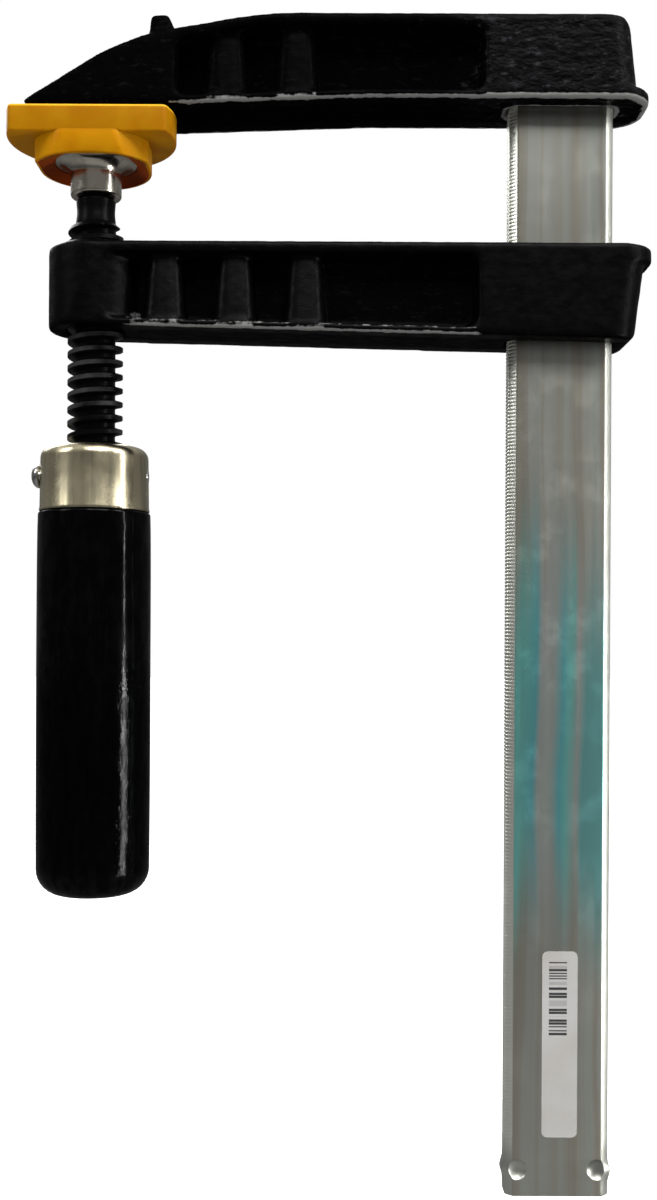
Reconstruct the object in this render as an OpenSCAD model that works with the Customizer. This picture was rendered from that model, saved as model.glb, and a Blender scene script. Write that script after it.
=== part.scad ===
// Deep-throat bar clamp: a cast arm fixed on a flat steel rail, a second cast arm that slides along it,
// and a screw spindle with a wooden handle that drives a swivelling pad against the fixed jaw.
// The origin is the middle of the fixed jaw's face on the spindle axis: +X towards the rail, +Z up the rail.

/* [Throat and jaws] */
// Distance from the spindle axis to the inner edge of the rail
throat = 120; // [90:1:180]
// Gap between the fixed jaw and the pad at rest
jaw_gap = 2.1; // [0.5:0.1:10]
// Distance from the fixed jaw down to the top of the sliding arm at rest
arm_gap = 39; // [38:1:80]
// Depth of both arms from front to back
arm_depth = 26; // [24:1:40]
// Thickness of the flanges along the arms' upper edges
flange_top_t = 3; // [2:0.1:6]
// Thickness of the flanges along the arms' lower edges
flange_foot_t = 1.9; // [1.5:0.1:6]
// Thickness of the web between the flanges
web_t = 9; // [6:0.5:18]
// How far the ribs in the arms stand back from the flanges' front edges
rib_setback = 0.4; // [0.2:0.1:2]
// How far each side of a rib leans outwards at its foot and inwards at its top
rib_flare = 0.8; // [0:0.1:1.5]
// How far the ribs' faces lean back at their top
rib_lean = 2.6; // [0:0.1:4]
// Radius of the ribs' upright edges
rib_round = 3; // [1:0.1:3.5]
// Radius of the corners at the arms' rail end, seen from above
head_round = 8; // [3:0.5:10]

/* [Rail] */
// Width of the rail
rail_w = 30; // [20:1:40]
// Thickness of the rail
rail_t = 9; // [7:0.5:12]
// Length of the rail below the fixed jaw
rail_below = 312; // [200:1:800]
// Width of the bevels along the rail's edges
rail_bevel_w = 2.3; // [1:0.1:4]
// Depth of the bevels along the rail's edges
rail_bevel_t = 1.8; // [0.5:0.1:2.5]
// Distance of the rail's upper end below the top of the fixed arm
rail_sink = 1; // [0:0.5:5]
// Height of the end stops above the rail's lower end
stop_height = 7; // [5:0.1:20]
// Distance of the stops' dents from the rail's edges
stop_inset = 3.4; // [3:0.1:6]
// How far each stop swells the rail's edge
stop_swell = 0.8; // [0.5:0.1:2]
// Length of each swelling along the rail
stop_length = 8; // [5:0.5:9]
// Diameter of the punched dents
dent_d = 6; // [3:0.5:6]
// Depth of the punched dents
dent_depth = 1.2; // [0.5:0.1:1.5]

/* [Fixed arm] */
// Reach of the nose beyond the spindle axis
nose_reach = 19.5; // [15:0.5:25]
// Height of the arm at its crest
crest_h = 25.6; // [23:0.1:40]
// Distance of the crest from the spindle axis
crest_x = 50; // [40:1:70]
// Height of the shoulder where the sloping nose ends
shoulder_h = 18.5; // [14:0.1:21]
// Distance of the shoulder from the spindle axis
shoulder_x = 10; // [5:1:14]
// Height of the arm at its rail end
tail_h = 25.7; // [22:0.1:40]
// Wall outside the rail at the arm's foot
foot_wall = 6.5; // [5:0.5:12]
// Wall outside the rail at the arm's top
tail_wall = 4; // [3.5:0.5:10]
// Reach of the foot's lip beyond the rail
foot_lip = 10; // [9:0.5:15]
// Thickness of the foot's lip
foot_lip_t = 3.6; // [2:0.1:6]
// Length of the jaw face from the spindle axis towards the rail
jaw_len = 26; // [18:1:40]
// How far the underside rises between the jaw face and the rail
jaw_relief = 2; // [0.5:0.1:3]
// Distance from the spindle axis at which the underside has risen
relief_x = 80; // [60:1:85]
// Distance of the lug on the nose from the spindle axis
lug_x = 16.6; // [14:0.1:18]
// Width of the lug
lug_w = 7.4; // [5:0.1:10]
// Height of the lug's top above the jaw face
lug_top = 25.6; // [23:0.1:30]
// Depth of the lug from front to back
lug_depth = 22; // [6:1:24]
// Start of the recess between the flanges
fixed_recess_x = 24; // [23:0.5:30]
// Solid length between the recess and the rail
fixed_head = 8; // [5:0.5:20]
// Width of the ribs in the recess
fixed_rib_w = 10.5; // [5:0.5:12]
// Distance of the first rib from the spindle axis
fixed_rib_x = 38.5; // [36:0.5:45]
// Distance between the ribs
fixed_rib_step = 20; // [16:0.5:30]

/* [Sliding arm] */
// Radius of the boss that takes the spindle
boss_r = 13.4; // [11:0.1:18]
// Height of the boss
boss_h = 23.7; // [20:0.1:35]
// Radius of the raised seat on top of the boss
seat_r = 9.6; // [9:0.1:11]
// Height of the raised seat
seat_h = 1.8; // [0.5:0.1:2]
// Radius of the boss's upper rim
boss_top_round = 2.4; // [0.5:0.1:2.6]
// Radius of the boss's lower rim
boss_foot_round = 1.8; // [0.5:0.1:3]
// Height of the arm at its rail end
slide_head_h = 27; // [24:0.5:45]
// Wall outside the rail at the head's top
slide_wall_top = 9; // [7:0.5:14]
// Wall outside the rail at the head's foot
slide_wall_foot = 5.5; // [5:0.5:7]
// Reach of the upper lip beyond the rail
slide_lip = 11; // [9.5:0.5:15]
// Thickness of the upper lip
slide_lip_t = 4.5; // [2:0.5:7]
// Solid length between the recess and the rail
slide_head = 9.5; // [5:0.5:20]
// Width of the ribs in the recess
slide_rib_w = 10; // [5:0.1:12]
// Distance of the first rib from the spindle axis
slide_rib_x = 21.2; // [20:0.1:26]
// Distance between the ribs
slide_rib_step = 20; // [14:0.5:24]
// Radius in the recess's corners
recess_round = 3; // [1:0.5:4]

/* [Spindle] */
// Outer diameter of the thread
spindle_d = 16; // [14:0.5:17]
// Length of thread between the boss and the ferrule at rest
thread_show = 33.6; // [15:0.1:80]
// Diameter of the slightly waisted neck above the thread
neck_d = 10.8; // [9:0.1:11]
// Diameter of the neck's shoulder under the pad's collar
neck_top_d = 11.4; // [11:0.1:12.5]
// Length of the neck below the pad's collar
neck_len = 6.6; // [3:0.1:8]
// Gap between the neck's shoulder and the pad's collar, for the pad's tilt
neck_gap = 1; // [0.9:0.1:3]
// Diameter of the ball that carries the pad
ball_d = 10; // [9.5:0.1:10.5]
// Diameter of the stem under the ball
stem_d = 7.4; // [6.5:0.1:7.6]
// Diameter of the groove for the retaining ring
groove_d = 6.4; // [5:0.1:6.4]
// Length of the thread inside the handle
thread_sunk = 4; // [2:0.5:6]
// Diameter of the tang inside the handle
tang_d = 10; // [7:0.5:12]
// Length of the tang
tang_len = 62; // [30:1:90]

/* [Pad] */
// Width of the cap along the arm
cap_x = 48; // [44:1:60]
// Depth of the cap from its straight front to its round back
cap_y = 34; // [34:1:38]
// Thickness of the cap's plate
cap_t = 7.5; // [6:0.1:10]
// Radius of the corners at the cap's straight front
cap_round = 3; // [1:0.5:4]
// Thickness of the cap's top wall
cap_top = 2.4; // [1.5:0.1:3]
// Diameter of the cap's hub
hub_d = 33; // [32:0.5:34]
// Height of the hub below the cap's plate
hub_h = 6.3; // [4:0.1:10]
// Wall of the hub
hub_wall = 4.5; // [4:0.1:5]
// How far the hub's front and back flats cut in at the cap's plate
flat_cut = 1.8; // [1:0.1:1.9]
// Slope of the hub's flats
flat_slope = 14; // [8:1:15]
// Thickness of the steel plate
plate_t = 7; // [5:0.1:8]
// Diameter of the plate's collar
collar_d = 14.7; // [14.5:0.1:17]
// Length of the collar below the middle of the ball
collar_drop = 9.5; // [9:0.1:12]
// Depth of the middle of the ball below the cap's face
pivot_drop = 11.9; // [11:0.1:14]
// Thickness of the retaining ring
ring_t = 1.2; // [0.8:0.1:1.4]
// Outer diameter of the retaining ring
ring_d = 11.8; // [11.2:0.1:12]
// Depth of the retaining ring below the middle of the ball
ring_drop = 5.6; // [5:0.1:6]
// Opening in the split ring
ring_split = 1.5; // [0.5:0.1:3]
// Room around the retaining ring for the pad's tilt
tilt_room = 0.75; // [0.6:0.05:0.8]

/* [Handle] */
// Height of the ferrule
ferrule_h = 18.6; // [14:0.1:30]
// Diameter of the ferrule at its top
ferrule_top_d = 31; // [28:0.1:36]
// How much wider the ferrule is at its open end
ferrule_flare = 0.8; // [0:0.1:2]
// Wall of the ferrule
ferrule_wall = 1.2; // [0.8:0.1:1.5]
// Radius of the ferrule's top edge
ferrule_round = 3.2; // [2:0.1:5]
// How far the wooden grip stands out beyond the ferrule's edge
grip_step = 0.6; // [0.2:0.1:3]
// Length of the wooden grip below the ferrule
grip_len = 110.7; // [75:0.1:150]
// Radius of the grip's lower end
grip_round = 7.5; // [3:0.5:12]
// Radius of the grip's upper edge
grip_shoulder = 1; // [0.5:0.1:1.5]
// Diameter of the cross pin
pin_d = 4; // [3:0.1:5]
// Depth of the cross pin below the ferrule's top
pin_drop = 8.2; // [7:0.1:11]
// Diameter of the cross pin's domed head
pin_head_d = 7; // [6:0.1:9]
// Height of the cross pin's domed head
pin_head_h = 2.6; // [1.5:0.1:3.5]

/* [Fits] */
// Clearance between the rail and the fixed arm, on each side
fixed_fit = 0.05; // [0.01:0.01:0.1]
// Clearance between the rail and the sliding arm, on each side
slide_fit = 0.3; // [0.2:0.05:0.6]
// Clearance of round running fits, on the radius
run_fit = 0.05; // [0.02:0.01:0.1]
// Clearance between pieces that are pressed together, on each side
press_fit = 0.02; // [0.01:0.01:0.05]

/* [Hidden] */
$fn = 64;
eps = 1;
iron = "#1b1b1d";
zinc = "#8d928e";
nickel = "#b8ae98";

rail_x = throat + rail_w / 2;
rail_end = throat + rail_w;
rail_top = tail_h - rail_sink;
stop_z = stop_height - rail_below;
swell_r = (pow(stop_length / 2, 2) + pow(stop_swell, 2)) / (2 * stop_swell);
dent_r = (pow(dent_d / 2, 2) + pow(dent_depth, 2)) / (2 * dent_depth);

slide_top = -arm_gap;
boss_foot = slide_top - boss_h;
slide_foot = slide_top - slide_head_h;

spindle_r = spindle_d / 2;
pad_top = -jaw_gap;
pivot_z = pad_top - pivot_drop;
collar_foot = pivot_z - collar_drop;
neck_top = collar_foot - neck_gap;
thread_top = neck_top - neck_len;
plate_top = pad_top - cap_top - press_fit;
plate_foot = plate_top - plate_t;
hub_foot = pad_top - cap_t - hub_h;
socket_r = ball_d / 2 + run_fit;
plate_r = hub_d / 2 - hub_wall - press_fit;
ring_z = pivot_z - ring_drop;

ferrule_z = boss_foot - thread_show;
grip_z = ferrule_z - ferrule_h;
grip_r = ferrule_r(ferrule_h) + grip_step;
pin_z = ferrule_z - pin_drop;
thread_foot = ferrule_z - ferrule_wall - thread_sunk;
pin_reach = ferrule_r(pin_drop);
pin_seat = ferrule_r(pin_drop + pin_head_d / 2) + press_fit;

// Points of an arc that rounds the corner b between a and c with radius r
function unit(v) = v / norm(v);
function flat(p) = [p.x, p.y];
function arc(centre, r, from, turn, steps) =
    [for (i = [0 : steps]) centre + r * [cos(from + turn * i / steps), sin(from + turn * i / steps)]];
function corner(a, b, c, r) =
    let (
        u = unit(flat(a) - flat(b)),
        v = unit(flat(c) - flat(b)),
        half = acos(u * v) / 2,
        start = flat(b) + u * r / tan(half),
        end = flat(b) + v * r / tan(half),
        centre = flat(b) + unit(u + v) * r / sin(half),
        from = atan2(start.y - centre.y, start.x - centre.x),
        to = atan2(end.y - centre.y, end.x - centre.x),
        turn = (to - from + 540) % 360 - 180
    )
    arc(centre, r, from, turn, max(3, ceil(abs(turn) / 9)));

// Outline through points [x, y, r], each corner rounded with its own radius
function rounded(points) =
    let (n = len(points))
    [for (i = [0 : n - 1])
        each points[i].z > 0
            ? corner(points[(i + n - 1) % n], points[i], points[(i + 1) % n], points[i].z)
            : [flat(points[i])]];

// Solid of an outline drawn as seen from the front, centred on the depth y
module front(depth, y = 0) {
    translate([0, y, 0]) rotate([90, 0, 0]) linear_extrude(depth, center = true) children();
}

// Outline of an arm seen from above, between two places along X
module arm_plan(x0, x1, round0, round1) {
    d = arm_depth / 2;
    polygon(rounded([[x0, -d, round0], [x1, -d, round1], [x1, d, round1], [x0, d, round0]]));
}

// Section of the rail, grown by a clearance
module rail_section(clear = 0) {
    w = rail_w / 2 + clear;
    t = rail_t / 2 + clear;
    a = w - rail_bevel_w;
    b = t - rail_bevel_t;
    polygon([[w, b], [a, t], [-a, t], [-w, b], [-w, -b], [-a, -t], [a, -t], [w, -b]]);
}

// Slot for the rail through an arm, between two heights
module rail_slot(z0, z1, clear) {
    translate([rail_x, 0, z0]) linear_extrude(z1 - z0) rail_section(clear);
}

// The recess outline cut into the front and the back of an arm, down to the web
module recess_pair() {
    cut = arm_depth / 2;
    for (side = [-1, 1]) front(cut, side * (web_t + cut) / 2) children();
}

// Column through the web that stands out as a rounded rib on both sides, wider and deeper at its foot
module rib_pair(x, width, foot, top) {
    wide = width / 2 + rib_flare;
    slim = width / 2 - rib_flare;
    out = arm_depth / 2 - rib_setback;
    intersection() {
        front(arm_depth)
            polygon([[x - wide, foot], [x + wide, foot], [x + slim, top], [x - slim, top]]);
        translate([x, 0, 0]) rotate([90, 0, 90]) linear_extrude(4 * wide, center = true)
            polygon([[-out, foot], [out, foot], [out - rib_lean, top], [rib_lean - out, top]]);
        translate([0, 0, foot]) linear_extrude(top - foot)
            polygon(rounded([
                [x - wide, -out, rib_round],
                [x + wide, -out, rib_round],
                [x + wide, out, rib_round],
                [x - wide, out, rib_round]
            ]));
    }
}

// Height of the fixed arm's upper edge between its shoulder and its crest
function slope_h(x) = shoulder_h + (crest_h - shoulder_h) * (min(x, crest_x) - shoulder_x) / (crest_x - shoulder_x);

// Height of the fixed arm's lower edge
function fixed_under(x) = jaw_relief * min(max((x - jaw_len) / (relief_x - jaw_len), 0), 1);

// Outer radius of the ferrule at a depth below its top
function ferrule_r(drop) = (ferrule_top_d + ferrule_flare * drop / ferrule_h) / 2;

// Height of the sliding arm's lower edge
function slide_under(x) = boss_foot + (slide_foot - boss_foot) * x / rail_end;

module rail() {
    color(zinc)
    difference() {
        union() {
            translate([rail_x, 0, -rail_below]) linear_extrude(rail_below + rail_top) rail_section();
            for (side = [-1, 1]) stop_swelling(side);
        }
        for (side = [-1, 1], face = [-1, 1])
            translate([rail_x + side * (rail_w / 2 - stop_inset), face * (rail_t / 2 + dent_r - dent_depth), stop_z])
                sphere(r = dent_r);
    }
}

// Edge of the rail that a punched stop has pushed outwards
module stop_swelling(side) {
    intersection() {
        translate([rail_x + side * (rail_w / 2 + stop_swell - swell_r), 0, stop_z])
            rotate([90, 0, 0])
                cylinder(h = rail_t - 2 * rail_bevel_t, r = swell_r, center = true);
        translate([rail_x + side * (rail_w + stop_length) / 2, 0, stop_z])
            cube([2 * stop_length, rail_t, stop_length], center = true);
    }
}

module fixed_arm() {
    foot_x = rail_end + foot_wall;
    tail_x = rail_end + tail_wall;
    recess_end = throat - fixed_head;
    color(iron)
    difference() {
        union() {
            difference() {
                intersection() {
                    front(arm_depth)
                        polygon(rounded([
                            [-nose_reach, 0, 0.5],
                            [jaw_len, 0, 0],
                            [relief_x, jaw_relief, 0],
                            [foot_x, jaw_relief, 0],
                            [tail_x, tail_h, 3.5],
                            [crest_x, crest_h, 110],
                            [shoulder_x, shoulder_h, 60]
                        ]));
                    linear_extrude(3 * crest_h, center = true)
                        arm_plan(-nose_reach - eps, foot_x, 4, head_round);
                }
                recess_pair()
                    polygon(rounded([
                        [fixed_recess_x, flange_foot_t, recess_round],
                        [relief_x, jaw_relief + flange_foot_t, 0],
                        [recess_end, jaw_relief + flange_foot_t, recess_round],
                        [recess_end, tail_h - flange_top_t, recess_round],
                        [crest_x, crest_h - flange_top_t, 60],
                        [fixed_recess_x, slope_h(fixed_recess_x) - flange_top_t, recess_round]
                    ]));
            }
            for (i = [0, 1]) {
                x = fixed_rib_x + i * fixed_rib_step;
                top = slope_h(x - fixed_rib_w / 2) - flange_top_t + eps / 2;
                rib_pair(x, fixed_rib_w, fixed_under(x) + flange_foot_t - eps, top);
            }
            translate([0, 0, jaw_relief]) linear_extrude(foot_lip_t)
                arm_plan(recess_end, rail_end + foot_lip, 0, head_round + 2);
            front(lug_depth) lug_outline();
        }
        rail_slot(-eps, tail_h + eps, fixed_fit);
    }
}

// Upstanding lug with a filleted left side and a slanted right side
module lug_outline() {
    foot = shoulder_h - flange_top_t;
    right = lug_x + lug_w;
    fillet = 2;
    polygon(rounded([
        [lug_x - fillet, foot, 0],
        [right, foot, 0],
        [right, slope_h(right), 0],
        [right - fillet, lug_top, 0.8],
        [lug_x + 0.4, lug_top - 0.4, 1],
        [lug_x, slope_h(lug_x) - 0.6, fillet],
        [lug_x - fillet, slope_h(lug_x - fillet) - 0.8, 0]
    ]));
}

module sliding_arm() {
    foot_x = rail_end + slide_wall_foot;
    head_x = rail_end + slide_wall_top;
    recess_end = throat - slide_head;
    color(iron)
    difference() {
        union() {
            difference() {
                intersection() {
                    front(arm_depth)
                        polygon(rounded([
                            [0, boss_foot, 0],
                            [foot_x, slide_under(foot_x), 3],
                            [head_x, slide_top, 0],
                            [0, slide_top, 0]
                        ]));
                    translate([0, 0, slide_foot - boss_h]) linear_extrude(3 * boss_h)
                        arm_plan(-eps, head_x, 0, head_round);
                }
                recess_pair()
                    polygon(rounded([
                        [0, slide_under(0) + flange_foot_t, 0],
                        [recess_end, slide_under(recess_end) + flange_foot_t, recess_round],
                        [recess_end, slide_top - flange_top_t, recess_round],
                        [0, slide_top - flange_top_t, 0]
                    ]));
            }
            for (i = [0 : 2]) {
                x = slide_rib_x + i * slide_rib_step;
                rib_pair(x, slide_rib_w, slide_under(x) + flange_foot_t - eps, slide_top - flange_top_t + eps / 2);
            }
            translate([0, 0, slide_top - slide_lip_t]) linear_extrude(slide_lip_t)
                arm_plan(recess_end, rail_end + slide_lip, 0, head_round + 2);
            boss();
        }
        translate([0, 0, boss_foot - eps])
            cylinder(h = boss_h + seat_h + 2 * eps, r = spindle_r + run_fit);
        rail_slot(slide_foot - eps, slide_top + eps, slide_fit);
    }
}

// Round boss with rounded rims and a raised seat on its top
module boss() {
    rotate_extrude()
        polygon(rounded([
            [0, boss_foot, 0],
            [boss_r, boss_foot, boss_foot_round],
            [boss_r, slide_top, boss_top_round],
            [seat_r + 0.8, slide_top, 0],
            [seat_r, slide_top + seat_h, 0.6],
            [0, slide_top + seat_h, 0]
        ]));
}

module spindle() {
    ball_r = ball_d / 2;
    stem_r = stem_d / 2;
    groove_r = groove_d / 2;
    ball_end = -asin(sqrt(1 - pow(stem_r / ball_r, 2)));
    groove_half = ring_t / 2 + run_fit;
    tang_foot = thread_foot - tang_len;
    lead = 1.2;
    waist_z = (thread_top + neck_top) / 2;
    waist_round = neck_len / 4;
    color("#141415")
    difference() {
        rotate_extrude()
            polygon(concat(
                [[0, tang_foot], [tang_d / 2 - lead, tang_foot], [tang_d / 2, tang_foot + lead]],
                [[tang_d / 2, thread_foot], [spindle_r - lead, thread_foot], [spindle_r, thread_foot + lead]],
                [[spindle_r, thread_top - lead], [spindle_r - lead, thread_top]],
                corner([spindle_r - lead, thread_top], [neck_d / 2, waist_z], [neck_top_d / 2, neck_top], waist_round),
                [[neck_top_d / 2, neck_top], [stem_r, neck_top], [stem_r, ring_z - groove_half]],
                [[groove_r, ring_z - groove_half], [groove_r, ring_z + groove_half]],
                [[stem_r, ring_z + groove_half]],
                arc([0, pivot_z], ball_r, ball_end, 90 - ball_end, 14)
            ));
        translate([0, 0, pin_z]) rotate([0, 90, 0])
            cylinder(h = tang_d + spindle_d, r = pin_d / 2 + press_fit, center = true);
    }
}

// Turned steel plate with a collar that holds the ball and an inner groove for the ring
module swivel_plate() {
    collar_r = collar_d / 2;
    groove_r = ring_d / 2 + tilt_room;
    groove_half = ring_t / 2 + tilt_room;
    cone = 2.4;
    color(nickel)
    rotate_extrude()
        polygon(concat(
            [[0, plate_top], [0, pivot_z + socket_r]],
            [for (p = arc([0, pivot_z], socket_r, 90, -90, 10)) if (p.x > 0.01) p],
            [[socket_r, ring_z + groove_half], [groove_r, ring_z + groove_half]],
            [[groove_r, ring_z - groove_half], [socket_r, ring_z - groove_half]],
            [[socket_r, collar_foot], [collar_r - 0.8, collar_foot], [collar_r, collar_foot + 0.8]],
            [[collar_r, plate_foot - cone], [collar_r + cone, plate_foot]],
            [[plate_r, plate_foot], [plate_r, plate_top]]
        ));
}

// Split ring in the groove of the stem: it stands still while the spindle turns
module retaining_ring() {
    color("#9a9a98")
    translate([0, 0, ring_z - ring_t / 2])
        difference() {
            cylinder(h = ring_t, d = ring_d);
            translate([0, 0, -eps]) cylinder(h = ring_t + 2 * eps, r = groove_d / 2 + run_fit);
            translate([0, -ring_split / 2, -eps]) cube([ring_d, ring_split, ring_t + 2 * eps]);
        }
}

module pad_cap() {
    hub_r = hub_d / 2;
    hub_top = pad_top - cap_t;
    color("#dfa01c")
    difference() {
        union() {
            translate([0, 0, hub_top]) linear_extrude(cap_t) cap_plan();
            difference() {
                translate([0, 0, hub_foot]) cylinder(h = hub_h + eps, r = hub_r);
                for (turn = [-90, 90])
                    rotate([0, 0, turn]) translate([hub_r - flat_cut, 0, hub_top]) rotate([0, flat_slope, 0])
                        translate([0, -hub_r, -2 * hub_h]) cube([hub_r, hub_d, 2 * hub_h]);
            }
        }
        translate([0, 0, hub_foot - eps])
            cylinder(h = plate_top - hub_foot + eps + press_fit, r = plate_r + press_fit);
    }
}

// Outline of the cap seen from above: a disc that is cut straight at the front
module cap_plan() {
    r = cap_x / 2;
    front_y = -cap_y / 2;
    middle = [0, cap_y / 2 - r];
    from = asin((front_y - middle.y) / r);
    corner_x = r * cos(from);
    corner_turn = 10;
    start = from + corner_turn;
    steps = 40;
    back = arc(middle, r, start, 180 - 2 * start, steps);
    polygon(concat(
        back,
        corner(back[steps], [-corner_x, front_y], [corner_x, front_y], cap_round),
        corner([-corner_x, front_y], [corner_x, front_y], back[0], cap_round)
    ));
}

// Drawn cup that closes the top of the handle around the spindle
module ferrule() {
    top_r = ferrule_r(0);
    end_r = ferrule_r(ferrule_h);
    hole_r = spindle_r + press_fit;
    inner_round = ferrule_round - ferrule_wall;
    color(nickel)
    difference() {
        rotate_extrude()
            polygon(rounded([
                [hole_r, ferrule_z, 0],
                [hole_r, ferrule_z - ferrule_wall, 0],
                [top_r - ferrule_wall, ferrule_z - ferrule_wall, inner_round],
                [end_r - ferrule_wall, grip_z, 0],
                [end_r, grip_z, 0],
                [top_r, ferrule_z, ferrule_round]
            ]));
        pin_hole();
    }
}

// Hole for the cross pin through everything that it holds
module pin_hole() {
    translate([0, 0, pin_z]) rotate([0, 90, 0])
        cylinder(h = 4 * grip_r, r = pin_d / 2 + press_fit, center = true);
}

// Cross pin with a domed head on the side away from the rail
module handle_pin() {
    head_r = pin_head_d / 2;
    color("#c9c6bd")
    translate([0, 0, pin_z]) rotate([0, -90, 0])
        rotate_extrude()
            polygon(concat(
                [[0, -pin_reach], [pin_d / 2, -pin_reach], [pin_d / 2, pin_seat], [head_r, pin_seat]],
                [for (a = [15 : 15 : 90]) [head_r * cos(a), pin_seat + pin_head_h * sin(a)]]
            ));
}

// Turned wooden grip with a neck inside the ferrule and a bore for the spindle's tang
module handle() {
    foot = grip_z - grip_len;
    neck_z = ferrule_z - ferrule_wall - press_fit;
    inset = ferrule_wall + press_fit;
    bulge = 0.4;
    color("#0e0e10")
    difference() {
        rotate_extrude()
            polygon(rounded([
                [0, foot - bulge, 0],
                [grip_r - grip_round, foot - bulge / 2, 0],
                [grip_r, foot, grip_round],
                [grip_r, grip_z, grip_shoulder],
                [ferrule_r(ferrule_h) - inset, grip_z, 0],
                [ferrule_r(0) - inset, neck_z, ferrule_round],
                [0, neck_z, 0]
            ]));
        translate([0, 0, thread_foot - press_fit])
            cylinder(h = neck_z - thread_foot + eps, r = spindle_r + press_fit);
        translate([0, 0, thread_foot - tang_len - press_fit])
            cylinder(h = tang_len + eps, r = tang_d / 2 + press_fit);
        pin_hole();
    }
}

rail();
fixed_arm();
sliding_arm();
spindle();
swivel_plate();
retaining_ring();
pad_cap();
ferrule();
handle_pin();
handle();
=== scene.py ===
"""Deep-throat bar clamp: the visual model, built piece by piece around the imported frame."""

import math

import bmesh
import bpy
import numpy as np
from bpy.props import FloatProperty, FloatVectorProperty, IntProperty, PointerProperty
from mathutils import Matrix, Vector, noise


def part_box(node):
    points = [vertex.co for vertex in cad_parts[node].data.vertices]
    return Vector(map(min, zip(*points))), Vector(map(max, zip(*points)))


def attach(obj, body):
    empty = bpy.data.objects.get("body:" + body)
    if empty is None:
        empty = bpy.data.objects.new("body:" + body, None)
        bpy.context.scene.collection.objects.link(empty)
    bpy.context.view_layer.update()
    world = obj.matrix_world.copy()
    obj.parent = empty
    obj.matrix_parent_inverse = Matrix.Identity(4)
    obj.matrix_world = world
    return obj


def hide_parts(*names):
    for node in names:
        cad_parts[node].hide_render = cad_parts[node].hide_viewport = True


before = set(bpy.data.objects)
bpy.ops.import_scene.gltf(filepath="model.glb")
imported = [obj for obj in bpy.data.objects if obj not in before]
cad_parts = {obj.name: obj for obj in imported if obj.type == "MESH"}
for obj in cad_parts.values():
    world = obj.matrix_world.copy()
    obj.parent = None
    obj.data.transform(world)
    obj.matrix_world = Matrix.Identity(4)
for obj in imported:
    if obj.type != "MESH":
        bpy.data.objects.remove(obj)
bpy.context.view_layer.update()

bl_info = {
    "name": "Deep-throat bar clamp",
    "version": (1, 0, 0),
    "blender": (4, 5, 0),
    "location": "View3D > Sidebar > Clamp",
    "description": "Builds a screw bar clamp with cast arms, a plated rail and a lacquered handle",
    "category": "Add Mesh",
}

MM = 0.001
# Places closer than this count as the same
TINY = 1e-6
PHOTO_SIZE = (657, 1200)

RAIL_LOW, RAIL_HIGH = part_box("rail")
FIXED_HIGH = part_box("fixed_arm")[1]
SLIDE_LOW, SLIDE_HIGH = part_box("sliding_arm")
CAP_LOW, CAP_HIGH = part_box("pad_cap")
PLATE_LOW, PLATE_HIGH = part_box("swivel_plate")
SPINDLE_LOW, SPINDLE_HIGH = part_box("spindle")
FERRULE_LOW, FERRULE_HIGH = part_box("ferrule")
PIN_LOW, PIN_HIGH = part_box("handle_pin")
HANDLE_LOW, HANDLE_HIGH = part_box("handle")
RAIL_MIDDLE = (RAIL_LOW.x + RAIL_HIGH.x) / 2
# Ball on the spindle's end, held by the swivel plate
BALL_RADIUS = 5 * MM
BALL_Z = SPINDLE_HIGH.z - BALL_RADIUS
# Underside of the swivel plate, which shows inside the cap's hub
PLATE_UNDER = -13.7 * MM
# Lean of the front of the cap's hub, which lies further back the lower it is
HUB_LEAN = math.tan(math.radians(13))


def length(label, text, default):
    """A length that a user may change, in metres."""
    return FloatProperty(name=label, description=text, default=default, min=0.0, unit="LENGTH", precision=5)


def count(label, text, default, least):
    """A whole number that a user may change."""
    return IntProperty(name=label, description=text, default=default, min=least)


def tint(label, text, default):
    """A linear colour that a user may change."""
    return FloatVectorProperty(name=label, description=text, default=default, subtype="COLOR", size=3,
                               min=0.0, max=1.0)


class RailSettings(bpy.types.PropertyGroup):
    """Sizes of the rail and the label on it."""

    width: length("Width", "Width of the rail without its stops", 30 * MM)
    thickness: length("Thickness", "Thickness of the rail", RAIL_HIGH.y - RAIL_LOW.y)
    bevel_width: length("Bevel width", "Width of the bevels along the edges", 2.3 * MM)
    bevel_depth: length("Bevel depth", "Depth of the bevels along the edges", 1.8 * MM)
    notch_pitch: length("Notch pitch", "Distance between the notches on the inner edge", 1.04 * MM)
    notch_depth: length("Notch depth", "Depth of the notches on the inner edge", 0.2 * MM)
    stop_height: length("Stop height", "Height of the punched stops above the lower end", 7 * MM)
    stop_inset: length("Stop inset", "Distance of the dents from the rail's edges", 3.4 * MM)
    stop_swell: length("Stop swelling", "How far each stop pushes the edge outwards", 0.8 * MM)
    label_width: length("Label width", "Width of the paper label", 10.2 * MM)
    label_height: length("Label height", "Height of the paper label", 53.6 * MM)
    label_rise: length("Label rise", "Height of the label's lower edge above the rail's end", 17.2 * MM)


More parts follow.
